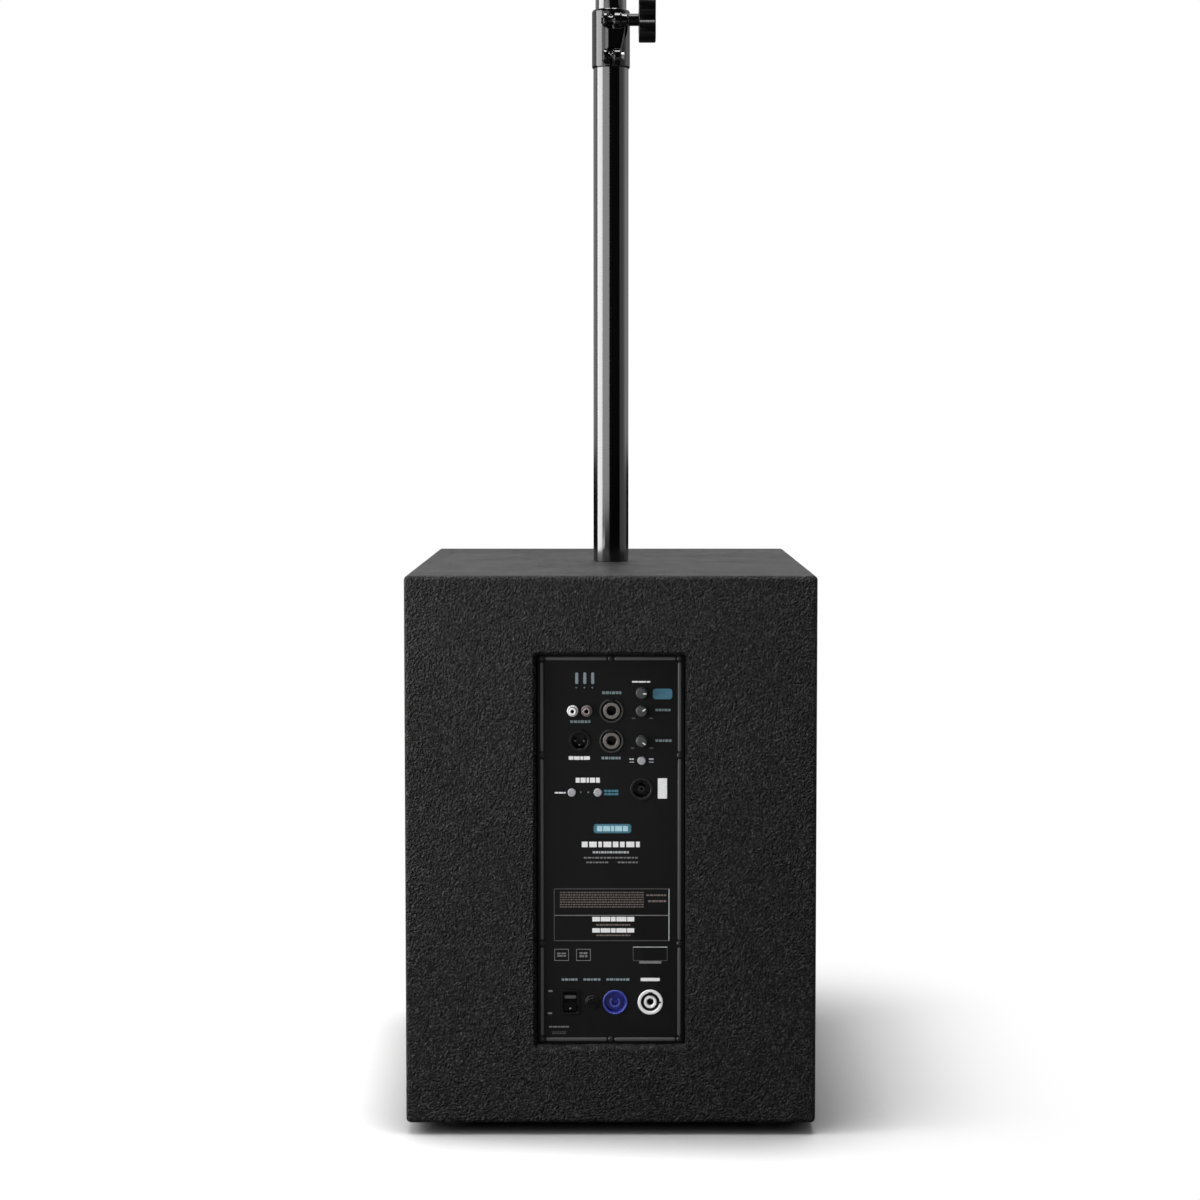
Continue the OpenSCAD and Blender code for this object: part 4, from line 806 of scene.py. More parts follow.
def combo_jacks():
    """Combination jacks: a grey flange, a dark annular slot, a nickel barrel and a deep hole."""
    spots = [on_plate(*spot) for spot in pairs_of("combo_jacks", COMBO_D / 2)]
    turned("combo_flanges", [(12, -0.2), (12, 1.5), (10.6, 1.5), (10.2, 0.6), (9.8, 0.2), (9.8, DEEP),
                             (8.9, DEEP), (8.9, -26), (10.2, -26), (10.2, -0.2), (12, -0.2)],
           spots, 72, "jack_ring", "jack_grey", "combo_jacks", radii=0.35)
    turned("combo_barrels", [(4.7, DEEP), (4.7, 0.4), (5.2, 1.2), (8.1, 1.2), (8.8, 0.4), (8.8, DEEP - 1),
                             (4.7, DEEP - 1), (4.7, DEEP)], spots, 64, "jack_metal", "jack_grey")
    turned("combo_cores", [(AXIS, DEEP - 1), (4.6, DEEP - 1), (4.6, -2.0), (3.9, -2.0), (3.9, DEEP),
                           (AXIS, DEEP)], spots, 40, "black_gloss", "jack_grey",
           radii=0.2, steps=2, support=0.2)
    piece("combo_tabs", [slab(rectangle(6.4, 3.4, 0.7, 3), 0.4, 1.8, moved(at, 0, 10.2)) for at in spots],
          "black_gloss")


def phono_jacks():
    """Phono jacks, one white and one red: a collar, a nickel shell, a coloured core and a dark bore."""
    collar = rounded([(5.6, -0.2), (5.6, 2.2), (4.6, 2.6), (4.0, 2.6), (4.0, -0.2), (5.6, -0.2)], 0.4)
    core = rounded([(AXIS, -20.0), (3.75, -20.0), (3.75, 7.5), (3.2, 8.0), (2.3, 8.0), (1.9, 7.4),
                    (1.9, -4.0), (AXIS, -4.0)], 0.25, 3, 0.2)
    bore = [(1.95, 6.9), (1.95, -4.2), (AXIS, -4.2), (AXIS, -3.9), (1.6, -3.9), (1.6, 6.9), (1.95, 6.9)]
    for name, node, spot in zip(("white", "red"), ("rca_jacks", ""), pairs_of("rca_jacks", PHONO_R)):
        at, start = on_plate(*spot), "phono_" + name
        piece(start + "_collar", [lathe(collar, at, 56), lathe(core, at, 48)], "rca_" + name,
              node)
        turned(start + "_shell", [(4.1, 0.0), (4.1, 7.4), (3.9, 7.6), (3.7, 7.4), (3.7, 0.0), (4.1, 0.0)], at,
               56, "jack_metal", "rca_plastic", radii=0.1, steps=2, support=0.2)
        piece(start + "_bore", lathe(bore, at, 32), "black_gloss")


def dark_sockets():
    """Three-pin output, speaker outlet and fuse holder: flanges round deep cavities.

    The first holds three bright pins, the second a barrel in a ring-shaped slot, the third its cap.
    """
    at = at_node("xlr_output")
    turned("xlr_shell", [(10.8, -0.2), (10.8, 1.5), (8.4, 1.5), (7.65, 0.8), (7.65, DEEP), (AXIS, DEEP),
                         (AXIS, -26), (9.6, -26), (9.6, -0.2), (10.8, -0.2)],
           at, 72, "black_gloss", "plastic_black", "xlr_output", radii=0.4)
    turned("xlr_pins", [(AXIS, 0.4), (0.5, 0.4), (1.15, -0.6), (1.15, DEEP - 1), (AXIS, DEEP - 1)],
           [moved(at, u, v) for u, v in ((-4.4, 0.0), (4.4, 0.0), (0.0, -4.2))], 24,
           "jack_metal", "plastic_black", support=0.2)
    turned("speaker_socket", [(11.25, -0.2), (11.25, 1.5), (9.2, 1.5), (8.7, 0.9), (8.7, DEEP), (3.4, DEEP),
                              (3.4, 0.4), (1.3, 0.4), (1.3, DEEP), (AXIS, DEEP), (AXIS, -26), (9.5, -26),
                              (9.5, -0.2), (11.25, -0.2)],
           at_node("speaker_output"), 72, "plastic", "plastic_black", "speaker_output", radii=0.35)
    turned("fuse_collar", [(7.0, -0.2), (7.0, 1.1), (6.5, 1.5), (5.2, 1.5), (4.5, 1.0), (4.5, -12),
                           (4.5, -14), (AXIS, -14), (AXIS, -36), (6.0, -36), (6.0, -0.2), (7.0, -0.2)],
           at_node("fuse_holder"), 56, "plastic", "plastic_black", "fuse_holder")


def mains_sockets():
    """Locking mains sockets: a blue inlet with a pale rim and C-shaped core, and a white outlet."""
    at, slot = at_node("mains_inlet"), "inlet_blue"
    turned("inlet_rim", [(12.35, -0.2), (12.35, 1.1), (11.9, 1.5), (11.1, 1.5), (10.7, 1.1), (10.7, -0.2),
                         (12.35, -0.2)], at, 80, "pale_blue", slot, "mains_inlet", support=0.2)
    turned("inlet_well", [(10.9, -0.5), (10.9, 0.9), (9.8, 0.7), (9.6, -4), (3.2, -4), (3.2, -2.5),
                          (AXIS, -2.5), (AXIS, -28), (10.4, -28), (10.4, -0.5), (10.9, -0.5)],
           at, 80, "blue", slot)
    section = rounded([(3.5, DEEP), (3.5, 0.5), (5.6, 0.5), (5.6, DEEP)], 0.35)
    arc = [np.column_stack([np.outer(section[:, 0], (np.cos(a), np.sin(a))), section[:, 1]])
           for a in radians(90) + np.linspace(radians(38), radians(322), 40)]
    piece("inlet_core", loft(place(np.array(arc), at)), "pale_blue")
    at, slot = at_node("mains_outlet"), "outlet_white"
    turned("outlet_ring", [(12.6, -0.2), (12.6, 1.0), (12.1, 1.5), (9.9, 1.5), (9.4, 1.0), (9.4, DEEP),
                           (9.2, -28), (10.6, -28), (10.6, -0.2), (12.6, -0.2)],
           at, 80, "white", slot, "mains_outlet", radii=0.35)
    turned("outlet_core", [(6.3, DEEP), (6.3, 0.4), (5.8, 0.9), (4.3, 0.9), (3.6, 0.3), (3.3, -1.2),
                           (3.3, DEEP), (AXIS, DEEP), (AXIS, -28), (6.3, -28), (6.3, DEEP)],
           at, 72, "white", slot, radii=0.25, support=0.25)
    bore = [(3.35, -1.6), (3.35, DEEP - 0.2), (AXIS, DEEP - 0.2), (AXIS, -9), (2.2, -9), (2.6, -1.6),
            (3.35, -1.6)]
    floor = [(6.2, -3), (9.6, -3), (9.6, DEEP), (6.2, DEEP), (6.2, -3)]
    piece("outlet_floor", [lathe(floor, at, 64), lathe(bore, at, 40)], "black_gloss")
    piece("outlet_keys", [slab(rectangle(4.2, 3.4, 0.5, 3), 0.2, 1.75, moved(at, 0, 8.6)),
                          slab(rectangle(3.4, 1.9, 0.5, 3), 0.2, 1.75, moved(at, 8.9, 0))],
          "black_gloss")


def radius_and_front(node):
    """A round fitting's radius, and how far it stands out of the plate."""
    low, high, _ = span(node)
    return (high[0] - low[0]) / 2, FACE_Y - low[1]


def rotary_knob(node, pointer):
    """A fluted control knob with a white pointer line, turned clockwise from the top by pointer degrees.

    The skirt is round, and above it the radius dips by a raised cosine at each of nine flutes.
    """
    at, (radius, top) = at_node(node), radius_and_front(node)
    angle = around(108)
    profile = rounded([(0.05, 0.3), (radius, 0.3), (radius, 1.7), (radius - 0.7, 2.1),
                       (radius - 0.9, top - 0.5), (0.05, top - 0.2)], 0.45, 4)
    flute = 0.55 * np.clip(np.cos(9 * angle), 0, 1) ** 2
    share = np.clip((profile[:, 1] - 2.0) / 0.8, 0, 1) * np.clip(profile[:, 0] / radius, 0, 1) ** 3
    cap = stack([((r - dip * flute)[:, None] * spun(angle), height)
                 for (r, height), dip in zip(profile, share)], at)
    piece(node + "_cap", cap, "knob", node, node)
    tip = (rectangle(radius * 0.62, 0.9, 0.4, 3) + [radius * 0.5, 0]) @ turning(radians(90 - pointer))
    piece(node + "_pointer", slab(tip, top - 0.4, top, at, 0.1, 2), "ink_white", "", node)


def push_button(node):
    """A push button: a shallow dome on a straight cap."""
    radius, top = radius_and_front(node)
    turned(node + "_cap", [(AXIS, -6), (radius, -6), (radius, top - 0.5), (radius * 0.8, top - 0.08),
                           (AXIS, top)], at_node(node), 56, "button", "button_white", node, node,
           radii=0.5, steps=5)


def plate_screws():
    """Ten pan-head screws of the plate: a domed head with a cross cut into it."""
    u_out, v_out, proud = screw_edges()
    spots = [(s * u_out, v) for s in (-1, 1) for v in (-v_out, -SIDE_SCREW_V, SIDE_SCREW_V, v_out)]
    spots = [on_plate(*spot) for spot in spots + [(0, -v_out), (0, v_out)]]
    heads = turned("plate_screw_heads", [(AXIS, -14.0), (1.4, -14.0), (1.4, -0.4), (SCREW_R, -0.4),
                                         (SCREW_R, proud * 0.45), (SCREW_R * 0.6, proud * 0.92),
                                         (AXIS, proud)], spots, 40, "screw", "screw_black", "amp_screws",
                   radii=0.5, steps=4, support=0.2)
    cross = []
    for k, at in enumerate(spots):
        arm = rectangle(3.0, 0.55, 0.2, 2) @ turning(0.4 + 1.1 * k)
        for bar, more in ((arm, 1.0), (arm @ np.array([[0, 1], [-1, 0]]), 1.02)):
            cross.append(slab(bar, proud - more, proud + more, at, 0.02, 1))
    cut(heads, cross)


def switch_parts():
    """Power switch: a rimmed frame, and a dim bar and a grey dot on a rocker of two planes falling to a
    valley.

    At rest the rocker's upper plane lies parallel to the plate, and its lower one leans out by two tilts.
    """
    low, high, _ = span("switch_frame")
    at, proud = at_node("switch_frame"), FACE_Y - low[1]
    size = (high - low)[[0, 2]]
    rows = [(0.0, -19.0), (0.0, proud - 0.5), (0.15, proud - 0.15), (0.5, proud), (2.3, proud),
            (2.8, proud - 0.4), (3.0, proud - 1.0), (3.0, -9.9), (3.0, -19.0)]
    outer = rectangle(*size, 1.5, 4)
    piece("switch_rim", stack([(outer * (size - 2 * by) / size, height) for by, height in rows], at, True),
          "black_gloss", "switch_frame")
    origin, first, second, outward = at
    valley = origin + second * 2 * np.sin(ROCKER_TILT) + outward * (2 * np.cos(ROCKER_TILT) - 1)
    lean, rise = np.cos(2 * ROCKER_TILT), np.sin(2 * ROCKER_TILT)
    up, out = second * lean - outward * rise, second * rise + outward * lean
    # A dim bar on the rocker's upper plane and a grey dot on its lower one.
    for name, shape, place_of, ink in (
            ("bar", rectangle(11.5, 3.2, 0.8, 3), (valley + second * 5.0, first, second, outward), "dim"),
            ("dot", spun(around(24), 0.9), (valley - up * 6.6, first, up, out), "grey")):
        piece("rocker_" + name, slab(shape, -0.1, 0.12, place_of, 0.03, 1), "ink_" + ink,
              "", "power_rocker")


# ---------------------------------------------------------------- printing on the plate

INK_T = 0.12


def patch(u, v, wide, tall, radius=0.3, lift=0.0):
    """A printed block, lifted when it lies over another."""
    radius = min(radius, 0.45 * min(wide, tall))
    return [slab(rectangle(wide, tall, radius, 3), -0.05, INK_T + lift, on_plate(u, v), 0.03, 1)]


def dashes(u, v, wide, tall, rows=1, dash=2.6, gap=0.7, fill=0.62, lift=0.0):
    """Rows of dashes in place of small print: their lengths follow 1 + 0.4 sin(2.4 k) along each row."""
    parts = []
    count = max(2, int(round(wide / (dash + gap))))
    height = tall / rows
    for row in range(rows):
        lengths = 1 + 0.4 * np.sin(2.4 * np.arange(count) + 1.7 * row)
        lengths *= (wide - gap * (count - 1)) / lengths.sum()
        left, middle = u - wide / 2, v + tall / 2 - height * (row + 0.5)
        for length in lengths:
            parts += patch(left + length / 2, middle, length, height * (fill if rows > 1 else 1.0), 0.3, lift)
            left += length + gap
    return parts


def outline(u, v, wide, tall, line=0.6):
    """Four thin bars round a box."""
    return [bar for s in (-1, 1) for bar in patch(u, v + s * (tall - line) / 2, wide, line, 0.1)
            + patch(u + s * (wide - line) / 2, v, line, tall - 2 * line, 0.1)]


# By ink: solid blocks, rows of dashes and boxes. Places are from the plate's middle, across and up
INKS = {
    "blue": ([(u, 172.3, 3.0, 11.5, 1.2) for u in (-33.9, -25.9, -18.0)],
             [(0.3, 92.3, 19, 2.6), (-41.3, -131.4, 16, 2.2), (-18.9, -131.4, 17, 2.2),
              (7.2, -131.4, 23, 2.2)]),
    "green": ([], [(-30.4, 128.8, 20, 2.6), (1.0, 157.8, 19, 2.8), (52.0, 140.5, 15, 2.4),
                   (52.6, 109.8, 16, 2.6)]),
    "white": ([(51.6, 61.7, 9.2, 20.5, 0.6), (39.5, -131.4, 19, 3.2, 0.5)],
              [(-31.4, 92.3, 21, 3.6, 1, 5.0, 0.5), (30.3, 168.7, 18, 1.6, 1, 6.0, 0.5),
               (-23.0, 70.0, 24, 5.0, 1, 3.6, 0.9), (-50.5, 57.4, 11, 1.6, 1, 3.4, 0.4),
               (0.0, 5.3, 58, 5.6, 1, 5.4, 1.6), (2.5, -70.2, 42, 4.6, 1, 7.0, 0.7),
               (2.5, -81.6, 42, 4.4, 1, 7.0, 0.7)]),
    "pale": ([(58.3, -65.8, 0.9, 52.8, 0.1), (39.5, -98.5, 34.5, 0.8, 0.1)],
             [(u, v, 4.6, tall, 1, 2.0, 0.3) for v, tall in ((91.2, 1.6), (88.2, 0.8)) for u in (20.9, 40.4)]
             + [(0.0, -2.6, 36, 2.2, 1, 2.0, 0.7)]),
    "cyan": ([(51.6, 156.6, 19.5, 10.6, 3.0), (1.7, 21.3, 37.5, 9.2, 2.6)],
             [(0.4, v, 14.5, 2.3, 1, 3.4, 0.4) for v in (59.2, 56.0)]),
    "bright": ([], [(1.7, 21.3, 31, 5.4, 1, 5.4, 0.8, 0.62, 0.1)]),
    "grey": ([(0.8, -66.4, 115, 0.8, 0.1), (39.6, -113.6, 22, 3.2, 0.6), (-60.5, -143.1, 4.4, 1.9, 0.8),
              (-61.0, -165.7, 4.4, 1.9, 0.8)],
             [(0.0, -8.1, 54, 1.5, 1, 3.0, 0.9), (-13.5, -12.8, 22, 1.5, 1, 2.4, 0.9),
              (17.0, -12.8, 20, 1.5, 1, 2.4, 0.9), (-49.3, -106.2, 9.0, 5.0, 2, 3.4, 0.8),
              (-27.4, -106.2, 8.0, 6.0, 2, 3.4, 0.8), (-52.0, -179.4, 20, 1.5, 1, 3.4, 0.6)],
             [(u, -106.4, 14.5, 12) for u in (-49.3, -27.4)]),
    "rose": ([], [(-9.0, -50.5, 84, 17.0, 7, 2.0, 0.6, 0.45), (45.5, -46.0, 20, 1.6, 1, 3.0, 0.6),
                  (46.5, -52.0, 18, 2.0, 1, 3.0, 0.6), (2.5, -76.0, 34, 1.6, 1, 2.4, 0.6),
                  (2.5, -86.6, 34, 1.4, 1, 2.4, 0.6)]),
    "dim": ([(0.8, -39.6, 115, 0.9, 0.1), (0.8, -92.0, 115, 0.9, 0.1), (-56.6, -65.8, 0.9, 52.8, 0.1),
             (22.5, -105.6, 0.7, 13.4, 0.1), (56.5, -105.6, 0.7, 13.4, 0.1), (39.5, -112.2, 34.5, 0.7, 0.1)]
            + [(u, v, 3.6, 1.5, 0.5)
               for u, v in ((22.7, 132.2), (40.2, 132.2), (21.7, 102.3), (40.7, 102.3))],
            [(-52.0, -185.5, 14, 3.4, 2, 3.0, 0.6)]),
}


def printing():
    """Bars, dashes and boxes printed on the plate, one piece for each ink."""
    for ink, groups in INKS.items():
        blocks = [part for draw, group in zip((patch, dashes, outline), groups) for row in group
                  for part in draw(*row)]
        piece("print_" + ink, blocks, "ink_" + ink)


# ---------------------------------------------------------------- pole and clamp

def pole_parts():
    """The pole's two tubes as closed turned walls with softened rims, and the sleeve closed on top."""
    for name, body in (("lower", "pole"), ("upper", "upper_pole")):
        node = "pole_%s_tube" % name
        low, high, _ = span(node)
        r = high[0]
        wall = [(r - 2, low[2]), (r, low[2]), (r, high[2]), (r - 2, high[2]), (r - 2, low[2])]
        tube = lathe(rounded(wall, 0.4, 4, 1.0)[:-1], upright(), 128, closed=True)
        piece("pole_tube_" + name, tube, "pole", node, body)
    low, high, _ = span("satellite_adapter")
    r, bore = high[0], UPPER_TUBE[0] + 0.03
    outside = rounded([(bore, low[2]), (r, low[2]), (r, high[2]), (AXIS, high[2])], [0.3, 0.3, 1.4, 0], 5,
                      1.0)
    profile = np.vstack([outside, [(AXIS, UPPER_TUBE[2]), (bore, UPPER_TUBE[2])]])
    piece("sleeve", lathe(profile, upright(), 128, closed=True), "sleeve",
          "satellite_adapter", "upper_pole")


def clamp_casting():
    """The clamp's casting: a ring with two bolt bosses and the web behind them, fused and smoothed.

    The ring's rims are chamfered. Each bolt passes a left and a right disc with a neck between them,
    and the upper right disc narrows to the knob's hub by a cone.
    """
    low, high, r, top, bottom = COLLAR_LOW[2], COLLAR_HIGH[2], COLLAR_R, KNOB_BOLT_Z, SCREW_BOLT_Z
    ring = lathe([(AXIS, low), (r - 1.2, low), (r, low + 1.8), (r, high - 1.8), (r - 1.2, high),
                  (AXIS, high)], upright(), 96)
    web = np.array([(9.6, bottom - 3), (11.0, bottom + 10), (14.6, bottom + 28), (15.0, top), (-4.4, top),
                    (-4.4, bottom - 3)])
    discs = [(AXIS, -8.2), (8.1, -8.2), (8.1, -3.9), (4.7, -3.6), (4.7, 3.2), (8.1, 3.5), (8.1, 10.0)]
    bosses = [lathe(discs + tail + [(AXIS, tail[-1][1])], along_bolt(z), 72)
              for z, tail in ((top, [(7.0, 10.8), (6.2, 18.0)]), (bottom, [(8.0, 10.4)]))]
    made = piece("clamp_casting", [ring, slab(web, 8.0, 25.5, seen_from_behind(0, 0, 0), 1.0, 2)] + bosses,
                 "clamp", "clamp_collar", "pole")
    fused(made, 0.6, 12)
    lower, upper, step = LOWER_TUBE[0] + 0.03, UPPER_TUBE[0] + 0.15, LOWER_TUBE[2]
    cut(made, lathe([(AXIS, low - 5), (lower, low - 5), (lower, step), (upper, step), (upper, high + 5),
                     (AXIS, high + 5)], upright(), 96), 50)
    slit = slab(rectangle(2.0, high - low + 20, 0.1, 1), 0.0, 60.0,
                seen_from_behind(0, 0, (low + high) / 2), 0.05, 1)
    cut(made, [slit] + [lathe([(radius, -60), (radius, 60)], along_bolt(z), 40)
                        for z, radius in ((top, 4.2), (bottom, 2.6))], 50)


def hex_nut(width, low, high, at, hole):
    """Hexagon nut with its corners cut by a cone: the hexagon's corners reach less far near both ends."""
    angle, flat = around(72), np.cos(np.pi / 6)
    reach = flat / np.cos((angle % (np.pi / 3)) - np.pi / 6)
    rows = []
    for share, height in ((0.0, low), (0.55, low), (1.0, low + 0.7), (1.0, high - 0.7), (0.55, high),
                          (0.0, high)):
        r = np.minimum(width * (reach * share + (1 - share) * flat), width * (0.9 + 0.1 * share))
        rows.append(((r if share else np.full(72, hole))[:, None] * spun(angle), height))
    return stack(rows, at, True)


def clamp_fixings():
    """Nuts at the left ends of both bolts, and the lower screw with its socket head."""
    left = span("clamp_hardware")[0][0] + 1.5
    upper, lower = along_bolt(KNOB_BOLT_Z), along_bolt(SCREW_BOLT_Z)
    shank = rounded([(AXIS, left + 0.4), (2.4, left + 0.4), (2.4, 11.2), (AXIS, 11.2)], 0.35, 3, 0.2)
    nuts = [hex_nut(width, left, left + 1.4, at, hole)
            for width, at, hole in ((6.6, upper, 4.1), (5.6, lower, 2.5))]
    piece("clamp_nuts", [lathe(shank, lower, 48)] + nuts, "fixing", "clamp_hardware", "pole")
    turned("clamp_screw", [(AXIS, 11.0), (4.6, 11.0), (4.6, 14.2), (2.3, 14.2), (2.3, 12.0), (AXIS, 12.0)],
           lower, 48, "zinc", "zinc_steel", "", "pole", radii=0.35, support=0.2)


def clamp_knob():
    """Three-lobed knob on a hub and bolt.

    Its outline is the outer edge of a middle circle and three lobe circles: the largest distance at
    which a ray meets any circle, smoothed by a running average over the neighbouring angles.
    """
    at, hub_x, out = along_bolt(KNOB_BOLT_Z), KNOB_HIGH[0] - 18.0, KNOB_D / 2 - LOBE_R
    angle = around(240)
    reach = np.full(240, KNOB_D * 0.32)
    for lobe in (90, 210, 330):
        off = angle - radians(lobe)
        under = LOBE_R ** 2 - (out * np.sin(off)) ** 2
        hit = np.where((under > 0) & (np.cos(off) > 0), out * np.cos(off) + np.sqrt(np.maximum(under, 0)), 0)
        reach = np.maximum(reach, hit)
    for _ in range(3):
        reach = (np.roll(reach, 1) + 2 * reach + np.roll(reach, -1)) / 4
    grip = slab(reach[:, None] * spun(angle), hub_x, KNOB_HIGH[0], at, 1.6, 5, 1.2)
    hub = rounded([(AXIS, 18.4), (6.5, 18.4), (6.5, hub_x + 0.5), (AXIS, hub_x + 0.5)], 0.5, 4, 0.6)
    piece("clamp_knob_grip", [grip, lathe(hub, at, 72)], "clamp_knob", "clamp_knob",
          "clamp_knob")
    turned("clamp_knob_bolt", [(AXIS, KNOB_LOW[0]), (4.0, KNOB_LOW[0]), (4.0, 18.9), (AXIS, 18.9)], at, 48,
           "fixing", "zinc_steel", "", "clamp_knob", radii=0.6, support=0.6)


# ---------------------------------------------------------------- handles and front

def handles():
    """Side cups, each a closed loft of rounded rectangles, and ribbed bars across them.

    A cup's loop runs from the middle of the outer floor out along the wall, under and round the flange,
    over the mouth's rounded edge, down the inner wall and over the floor's rounded corner. A bar's
    radius swells by a cosine along its length.
    """
    low, high, cup = span("handle_cups")
    flange = (high - low)[1:]
    mouth, wall, depth, under = flange - 36.0, 3.0, 46.0, -4.0
    outer, centre, floor = mouth + 2 * wall, np.array([4.0, 4.0]), wall - 46.0
    rows = [(centre, 0.5, -depth), (outer - 12, 3.0, -depth), (outer - 2, 7.0, -depth + 1),
            (outer, 8.0, -depth + 5), (outer, 8.0, under), (flange - 0.6, 7.7, under),
            (flange, 8.0, under + 0.3), (flange, 8.0, -0.7), (flange - 0.4, 7.8, -0.2),
            (flange - 1.4, 7.3, 0.0), (mouth + 6, 8.0, 0.0)]
    rows += [(mouth + 5 * (1 - np.sin(a)), 5 + 2.5 * (1 - np.sin(a)), -2.5 * (1 - np.cos(a)))
             for a in np.linspace(0.0, np.pi / 2, 6)]
    rows += [(mouth, 5.0, -8.0), (mouth - 1.0, 5.0, floor + 9)]
    rows += [(mouth - 1.0 - 14 * (1 - np.cos(a)), 5.0, floor + 7 * (1 - np.sin(a)))
             for a in np.linspace(0.15, np.pi / 2, 6)]
    rows = [(rectangle(*size, radius), height) for size, radius, height in rows + [(centre, 0.5, floor)]]
    low, high, bar = span("handle_grips")
    r, t = (high[2] - low[2]) / 2, np.linspace(0, 1, 181)
    ribs = 0.45 * np.clip(np.cos(TAU * 15 * t), -0.2, 1) * np.clip(np.minimum(t, 1 - t) * 12 - 0.5, 0, 1)
    profile = np.vstack([[(AXIS, low[1])], np.column_stack([r - 0.5 + ribs, low[1] + t * (high - low)[1]]),
                         [(AXIS, high[1])]])
    for side, label, first in ((-1, "left", True), (1, "right", False)):
        piece("handle_cup_" + label, stack(rows, on_side(side, *cup[1:])), "plastic",
              "handle_cups" * first, angle=30)
        at = (np.array([side * (high[0] - r), 0, bar[2]]), X, -Z, Y)
        piece("handle_grip_" + label, lathe(profile, at, 48), "grip", "handle_grips" * first)


def grille_sheet():
    """Front grille: a sheet of hexagonal holes in a plain folded rim.

    Cell centres stand at (i + half of j's parity, j * sqrt(3) / 2) pitches. Each cell is the ring from
    its own hexagon to its hole's, front and back, and a wall closes every edge that one face uses alone.
    """
    low, high, middle = span("grille")
    wide, thick, tall = high - low
    pitch, hole, rim = 7.0, 5.3, 12.0
    across, up = int(wide / pitch / 2) + 1, int(tall / pitch / 1.7) + 1
    j, i = np.meshgrid(np.arange(-up, up + 1), np.arange(-across, across + 1), indexing="ij")
    centre = np.stack([(i + (j % 2) / 2) * pitch, j * pitch * np.sqrt(3) / 2], -1).reshape(-1, 2)
    centre = centre[(abs(centre[:, 0]) < wide / 2 - 8) & (abs(centre[:, 1]) < tall / 2 - 8)]
    arms = spun(np.pi / 6 + np.arange(6) * np.pi / 3) / np.sqrt(3)
    corners = np.concatenate([centre[:, None] + pitch * arms, centre[:, None] + hole * arms], 1)
    flat, index = np.unique(np.round(corners.reshape(-1, 2), 3), axis=0, return_inverse=True)
    own, cell = np.split(index.reshape(-1, 12), 2, 1)
    quads = np.stack([own, np.roll(own, -1, 1), np.roll(cell, -1, 1), cell], -1).reshape(-1, 4)
    edges = np.stack([quads, np.roll(quads, -1, 1)], -1).reshape(-1, 2)
    _, first, uses = np.unique(np.sort(edges, 1), axis=0, return_index=True, return_counts=True)
    lone, count = edges[first[uses == 1]], len(flat)
    walls = np.stack([lone[:, 1], lone[:, 0], lone[:, 0] + count, lone[:, 1] + count], 1)
    local = np.vstack([np.column_stack([flat, np.full(count, h)]) for h in (0.0, -thick)])
    at = (np.array([0, high[1], middle[2]]), -X, Z, Y)
    faces = np.vstack([quads, quads[:, ::-1] + count, walls]).tolist()
    piece("grille_mesh", (place(local, at), faces), "grille", "grille")
    rows = [(0.5, 0.15), (0.15, 0.0), (0.0, -0.4), (0.0, -thick - 0.1), (rim, -thick - 0.1), (rim, 0.0),
            (rim - 0.5, 0.15)]
    rings = [(rectangle(wide - 2 * by, tall - 2 * by, 5.0 if by < 2 else 2.5, 6, 2.0), height)
             for by, height in rows]
    piece("grille_rim", stack(rings, at, True), "grille")


def dress_nodes():
    """Gives every CAD node that stays its finish."""
    for finish, names in {
            "inner": "front_baffle grille_battens amp_mount_frame", "ply": "cabinet_brace",
            "rubber": "rubber_feet", "screw": "cabinet_screws woofer_screws", "foam": "grille_foam",
            "socket": "pole_socket", "basket": "woofer_basket", "iron": "woofer_top_plate woofer_yoke",
            "ferrite": "woofer_magnet", "spider": "woofer_spider", "surround": "woofer_surround",
            "paper": "woofer_cone dust_cap", "copper": "voice_coil", "plastic": "port_tubes pole_spigot",
            "lead": "speaker_lead", "gasket": "amp_gasket", "aluminium": "amp_heatsink",
            "board": "amplifier_board input_board", "tape": "power_transformer",
            "bodies": "panel_controls", "black_gloss": "fuse_cap", "lamp": "indicator_lights",
            "rocker": "power_rocker"}.items():
        for name in names.split():
            for entry in nodes[name].material_slots:
                entry.material = SPEC[finish]


# ---------------------------------------------------------------- stage, light and camera

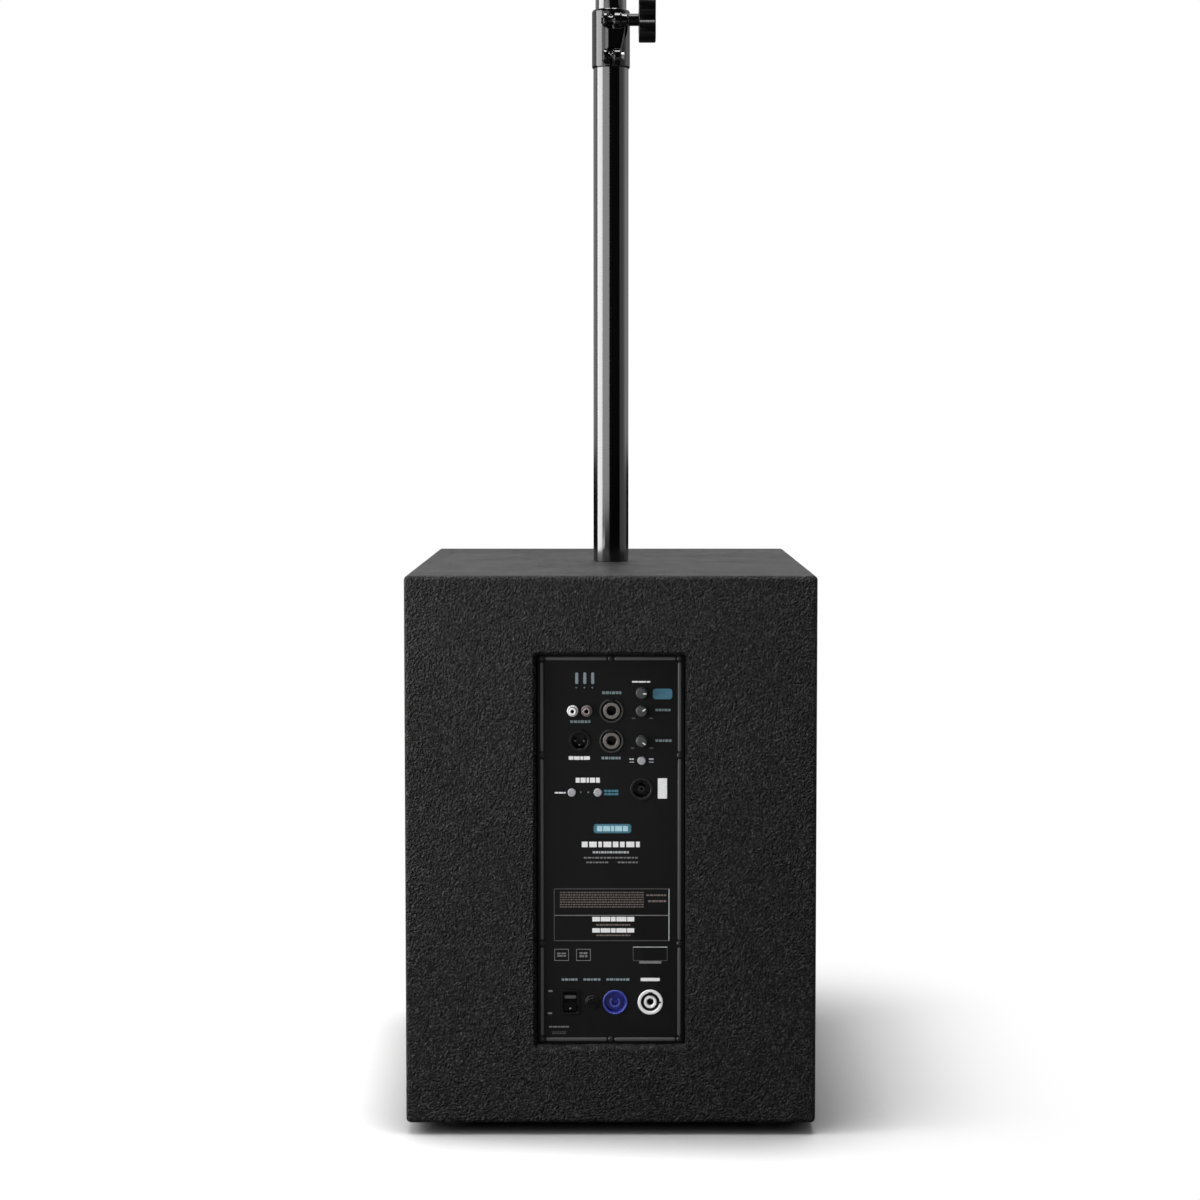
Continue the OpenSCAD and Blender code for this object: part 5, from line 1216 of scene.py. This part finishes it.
def stage():
    """Floor with painted shade in the nook at the cabinet's foot, which turns plain white further out: an
    ambient occlusion node darkens its colour there.

    The floor is pale to the camera and to clear rays, and dark to all others. The distance from the
    foot is the length of the part of (x, y) outside the cabinet's rectangle: max(|x| - half width, 0)
    and max(|y| - half depth, 0). A smooth step of it mixes in the white.
    """
    reach, mesh = 30.0, bpy.data.meshes.new("floor")
    mesh.from_pydata([(reach * x, reach * y, 0) for x, y in ((-1, -1), (1, -1), (1, 1), (-1, 1))], [],
                     [(0, 1, 2, 3)])
    floor = put("floor", mesh)
    made, tree = material("pale floor", 0.9, level=0.0)
    seen = add(tree, "LightPath").outputs
    any_seen = math(tree, "MAXIMUM", seen["Is Camera Ray"], seen["Is Transmission Ray"])
    # Painted shade: ambient occlusion darkens the floor's colour near the cabinet.
    nook_painted_shade = add(tree, "AmbientOcclusion", {"Color": spread(tree, any_seen, 0, 1, 0.12, 0.66), "Distance": 0.1},
               samples=12)
    finished(made, nook_painted_shade.outputs["Color"])
    spot = add(tree, "SeparateXYZ", {0: object_points(tree)}).outputs
    aside = [math(tree, "MAXIMUM", math(tree, "SUBTRACT", math(tree, "ABSOLUTE", spot[axis]), half * MM), 0.0)
             for axis, half in (("X", HALF_W), ("Y", FRONT_Y))]
    away = math(tree, "SQRT", math(tree, "ADD", *(math(tree, "POWER", side, 2.0) for side in aside)))
    clear = spread(tree, away, 0.06, 0.3, interpolation_type="SMOOTHSTEP")
    white = add(tree, "Emission", {"Strength": 1.0})
    both = add(tree, "MixShader", {0: times(tree, any_seen, clear),
                                   1: tree.nodes["Principled BSDF"].outputs[0], 2: white.outputs[0]})
    tree.links.new(both.outputs[0], tree.nodes["Material Output"].inputs["Surface"])
    mesh.materials.append(made)


def light_world():
    """Even soft fill for diffuse light, plain white for the camera, and a dark room for reflections.

    Mirrored rays meet white beyond the cabinet's front, less of it straight ahead, and nearly nothing
    behind the camera, as in a studio with flags beside a bright backdrop.
    """
    world = bpy.data.worlds.new("studio")
    bpy.context.scene.world = world
    world.use_nodes = True
    tree = world.node_tree
    tree.nodes.clear()
    seen = add(tree, "LightPath").outputs
    ahead = add(tree, "SeparateXYZ", {0: add(tree, "TexCoord").outputs["Generated"]}).outputs["Y"]
    glossy = times(tree, spread(tree, ahead, -0.1, 0.4, 0.02, 1.0), spread(tree, ahead, 0.5, 1.0, 1.0, 0.45))
    soft, mirror, white = (add(tree, "Background", {"Color": grey(255), "Strength": strength}).outputs[0]
                           for strength in (0.05, glossy, 1.0))
    mirrored = math(tree, "MAXIMUM", seen["Is Glossy Ray"], seen["Is Transmission Ray"])
    first = add(tree, "MixShader", {0: mirrored, 1: soft, 2: mirror})
    second = add(tree, "MixShader", {0: seen["Is Camera Ray"], 1: first.outputs[0], 2: white})
    tree.links.new(second.outputs[0], add(tree, "OutputWorld").inputs["Surface"])


def lights():
    """Soft boxes, sizes in metres: a strong one above, a wide one on the camera's side at the left, a
    strip and a low box raking in from the left, and weak ones low down and at the far and right sides.
    """
    for name, at, aim, size, power in (
            ("overhead", (0.0, -0.3, 3.2), (0.0, -0.2, 0.4), (1.5, 1.3), 102),
            ("front left", (-1.35, -1.9, 1.05), (0.0, 0.0, 0.9), (2.1, 1.1), 20),
            ("left strip", (-1.2, -0.28, 0.85), (0.0, -0.2, 0.75), (0.9, 1.5), 38),
            ("low left", (-0.85, -0.75, 0.32), (0.0, -0.2, 0.3), (0.3, 0.4), 3.2),
            ("low front", (0.2, -1.5, 0.16), (0.0, -0.2, 0.1), (1.8, 0.28), 2),
            ("far side", (0.4, 1.9, 2.5), (0.0, 0.2, 0.4), (1.6, 1.0), 11),
            ("right strip", (1.6, 0.0, 1.1), (0.0, 0.0, 0.7), (2.0, 1.7), 5)):
        lamp = bpy.data.lights.new(name, "AREA")
        lamp.shape, lamp.size, lamp.size_y, lamp.energy = "RECTANGLE", *size, power
        box = put(name, lamp)
        box.location = at
        box.rotation_euler = (Vector(aim) - Vector(at)).to_track_quat("-Z", "Y").to_euler()
        box.visible_camera = False


def camera():
    """Camera behind the cabinet at chest height, tipped down three degrees, with a small shift."""
    data = bpy.data.cameras.new("camera")
    data.lens, data.sensor_width, data.shift_x, data.shift_y = 66.97, 36.0, -0.0113, -0.0573
    view = put("camera", data)
    view.location, view.rotation_euler = (0.0028, -2.4269, 0.7214), (radians(87), 0, 0)
    bpy.context.scene.camera = view


for build in (camera, cabinet_shell, plate_pressing, plate_bead, combo_jacks, phono_jacks, dark_sockets,
              mains_sockets, plate_screws, switch_parts, printing, pole_parts, clamp_casting, clamp_fixings,
              clamp_knob, handles, grille_sheet, dress_nodes, stage, light_world, lights):
    build()
for knob, pointer in (("mode_knob", 90), ("mic_level_knob", 55), ("line_level_knob", 125)):
    rotary_knob(knob, pointer)
for button in ("phase_button", "pair_button", "play_button"):
    push_button(button)
bpy.context.scene.view_settings.view_transform = "Standard"
